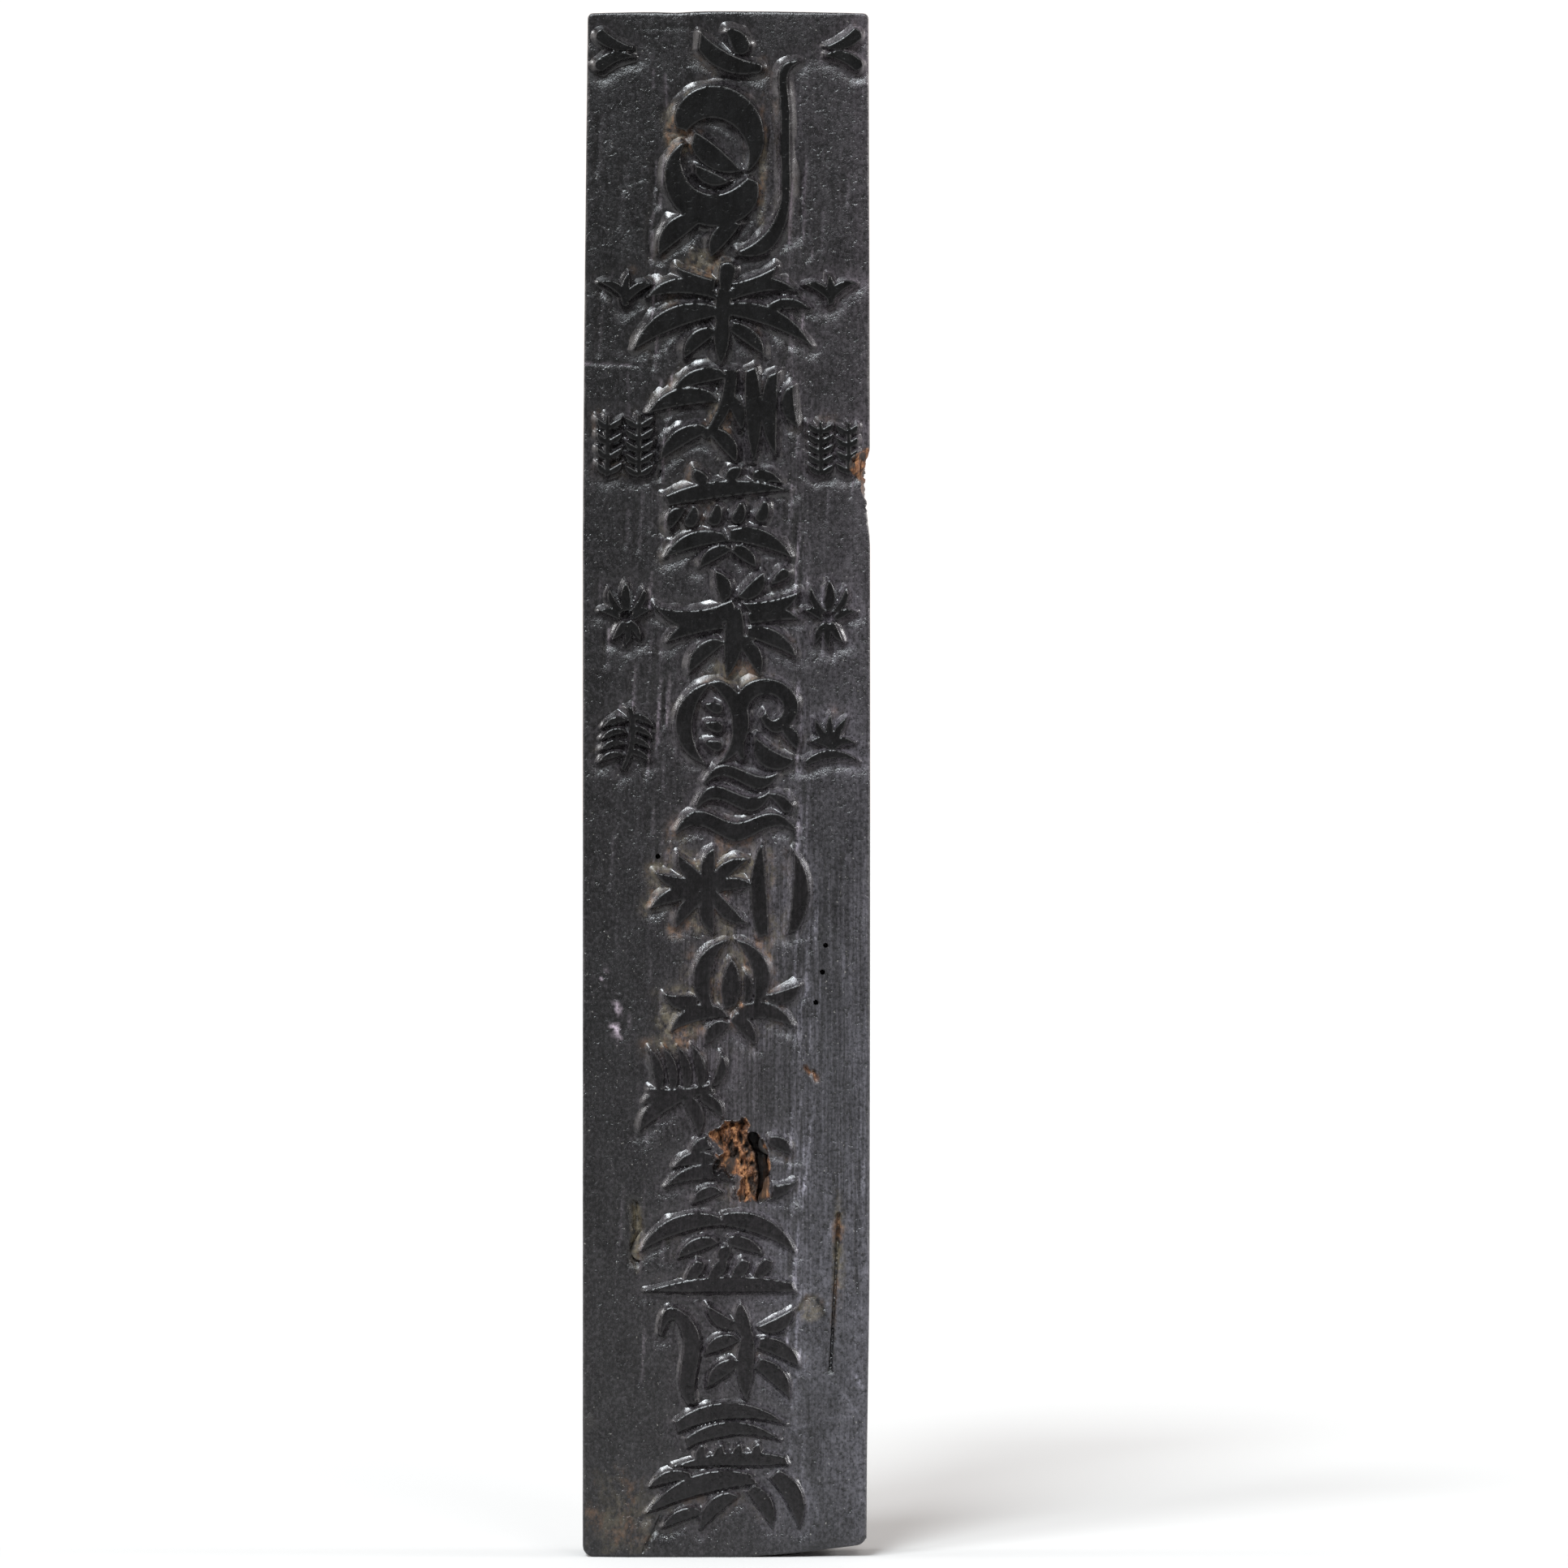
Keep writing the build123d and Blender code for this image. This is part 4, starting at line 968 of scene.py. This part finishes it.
def build_room():
    """A white room, dark on the side of the camera, with two bright screens and a dimmer ceiling."""
    world = bpy.data.worlds.new("white_room")
    bpy.context.scene.world = world
    world.use_nodes = True
    tree = world.node_tree
    background = tree.nodes["Background"]
    way = add(tree, "TexCoord").outputs["Generated"]
    split = add(tree, "SeparateXYZ", {"Vector": way})
    room = span(tree, split.outputs["Y"], -0.80, -0.20, 0.16, 1.09)
    sideways = add(tree, "Math", {0: split.outputs["X"]}, operation="ABSOLUTE").outputs[0]
    screens = span(tree, sideways, 0.80, 0.92, 0.0, 1.5)
    overhead = span(tree, split.outputs["Z"], 0.35, 0.75, 1.0, 0.5)
    light = times(tree, plus(tree, room, screens), overhead)
    tree.links.new(light, background.inputs["Strength"])
    background.inputs["Color"].default_value = ROOM_COLOUR


def build_stage():
    """The floor, the room and the lights."""
    mesh = bpy.data.meshes.new("floor")
    mesh.from_pydata([(-60, -60, 0), (60, -60, 0), (60, 60, 0), (-60, 60, 0)], [], [(0, 1, 2, 3)])
    floor = bpy.data.objects.new("floor", mesh)
    bpy.context.scene.collection.objects.link(floor)
    mesh.materials.append(pale_floor())
    build_room()
    for sun in SUNS:
        add_sun(*sun)


def build_camera():
    """Level, at half the block's height, a little to its right, far back with a long lens."""
    camera = bpy.data.cameras.new("camera")
    camera.sensor_fit = "HORIZONTAL"
    camera.angle = 2 * math.atan(HEIGHT * MM * FRAMED / 2 / CAMERA_AWAY)
    camera.dof.use_dof = False
    camera.clip_end = 40
    eye = bpy.data.objects.new("camera", camera)
    eye.location = (0.4 * HALF_W * MM, TOP_Y * MM - CAMERA_AWAY, HEIGHT * MM / 2)
    eye.rotation_euler = (math.pi / 2, 0, 0)
    bpy.context.scene.collection.objects.link(eye)
    bpy.context.scene.camera = eye


inked_wood = carved_wood("inked_wood", 0.30, 0.30)
printing_tops = carved_wood("printing_tops", 0.27, 0.30)
build_block(inked_wood)
for mark_name in MARKS:
    build_mark(mark_name, printing_tops)
build_stage()
build_camera()
bpy.context.scene.view_settings.view_transform = "Standard"
bpy.context.scene.view_settings.look = "None"
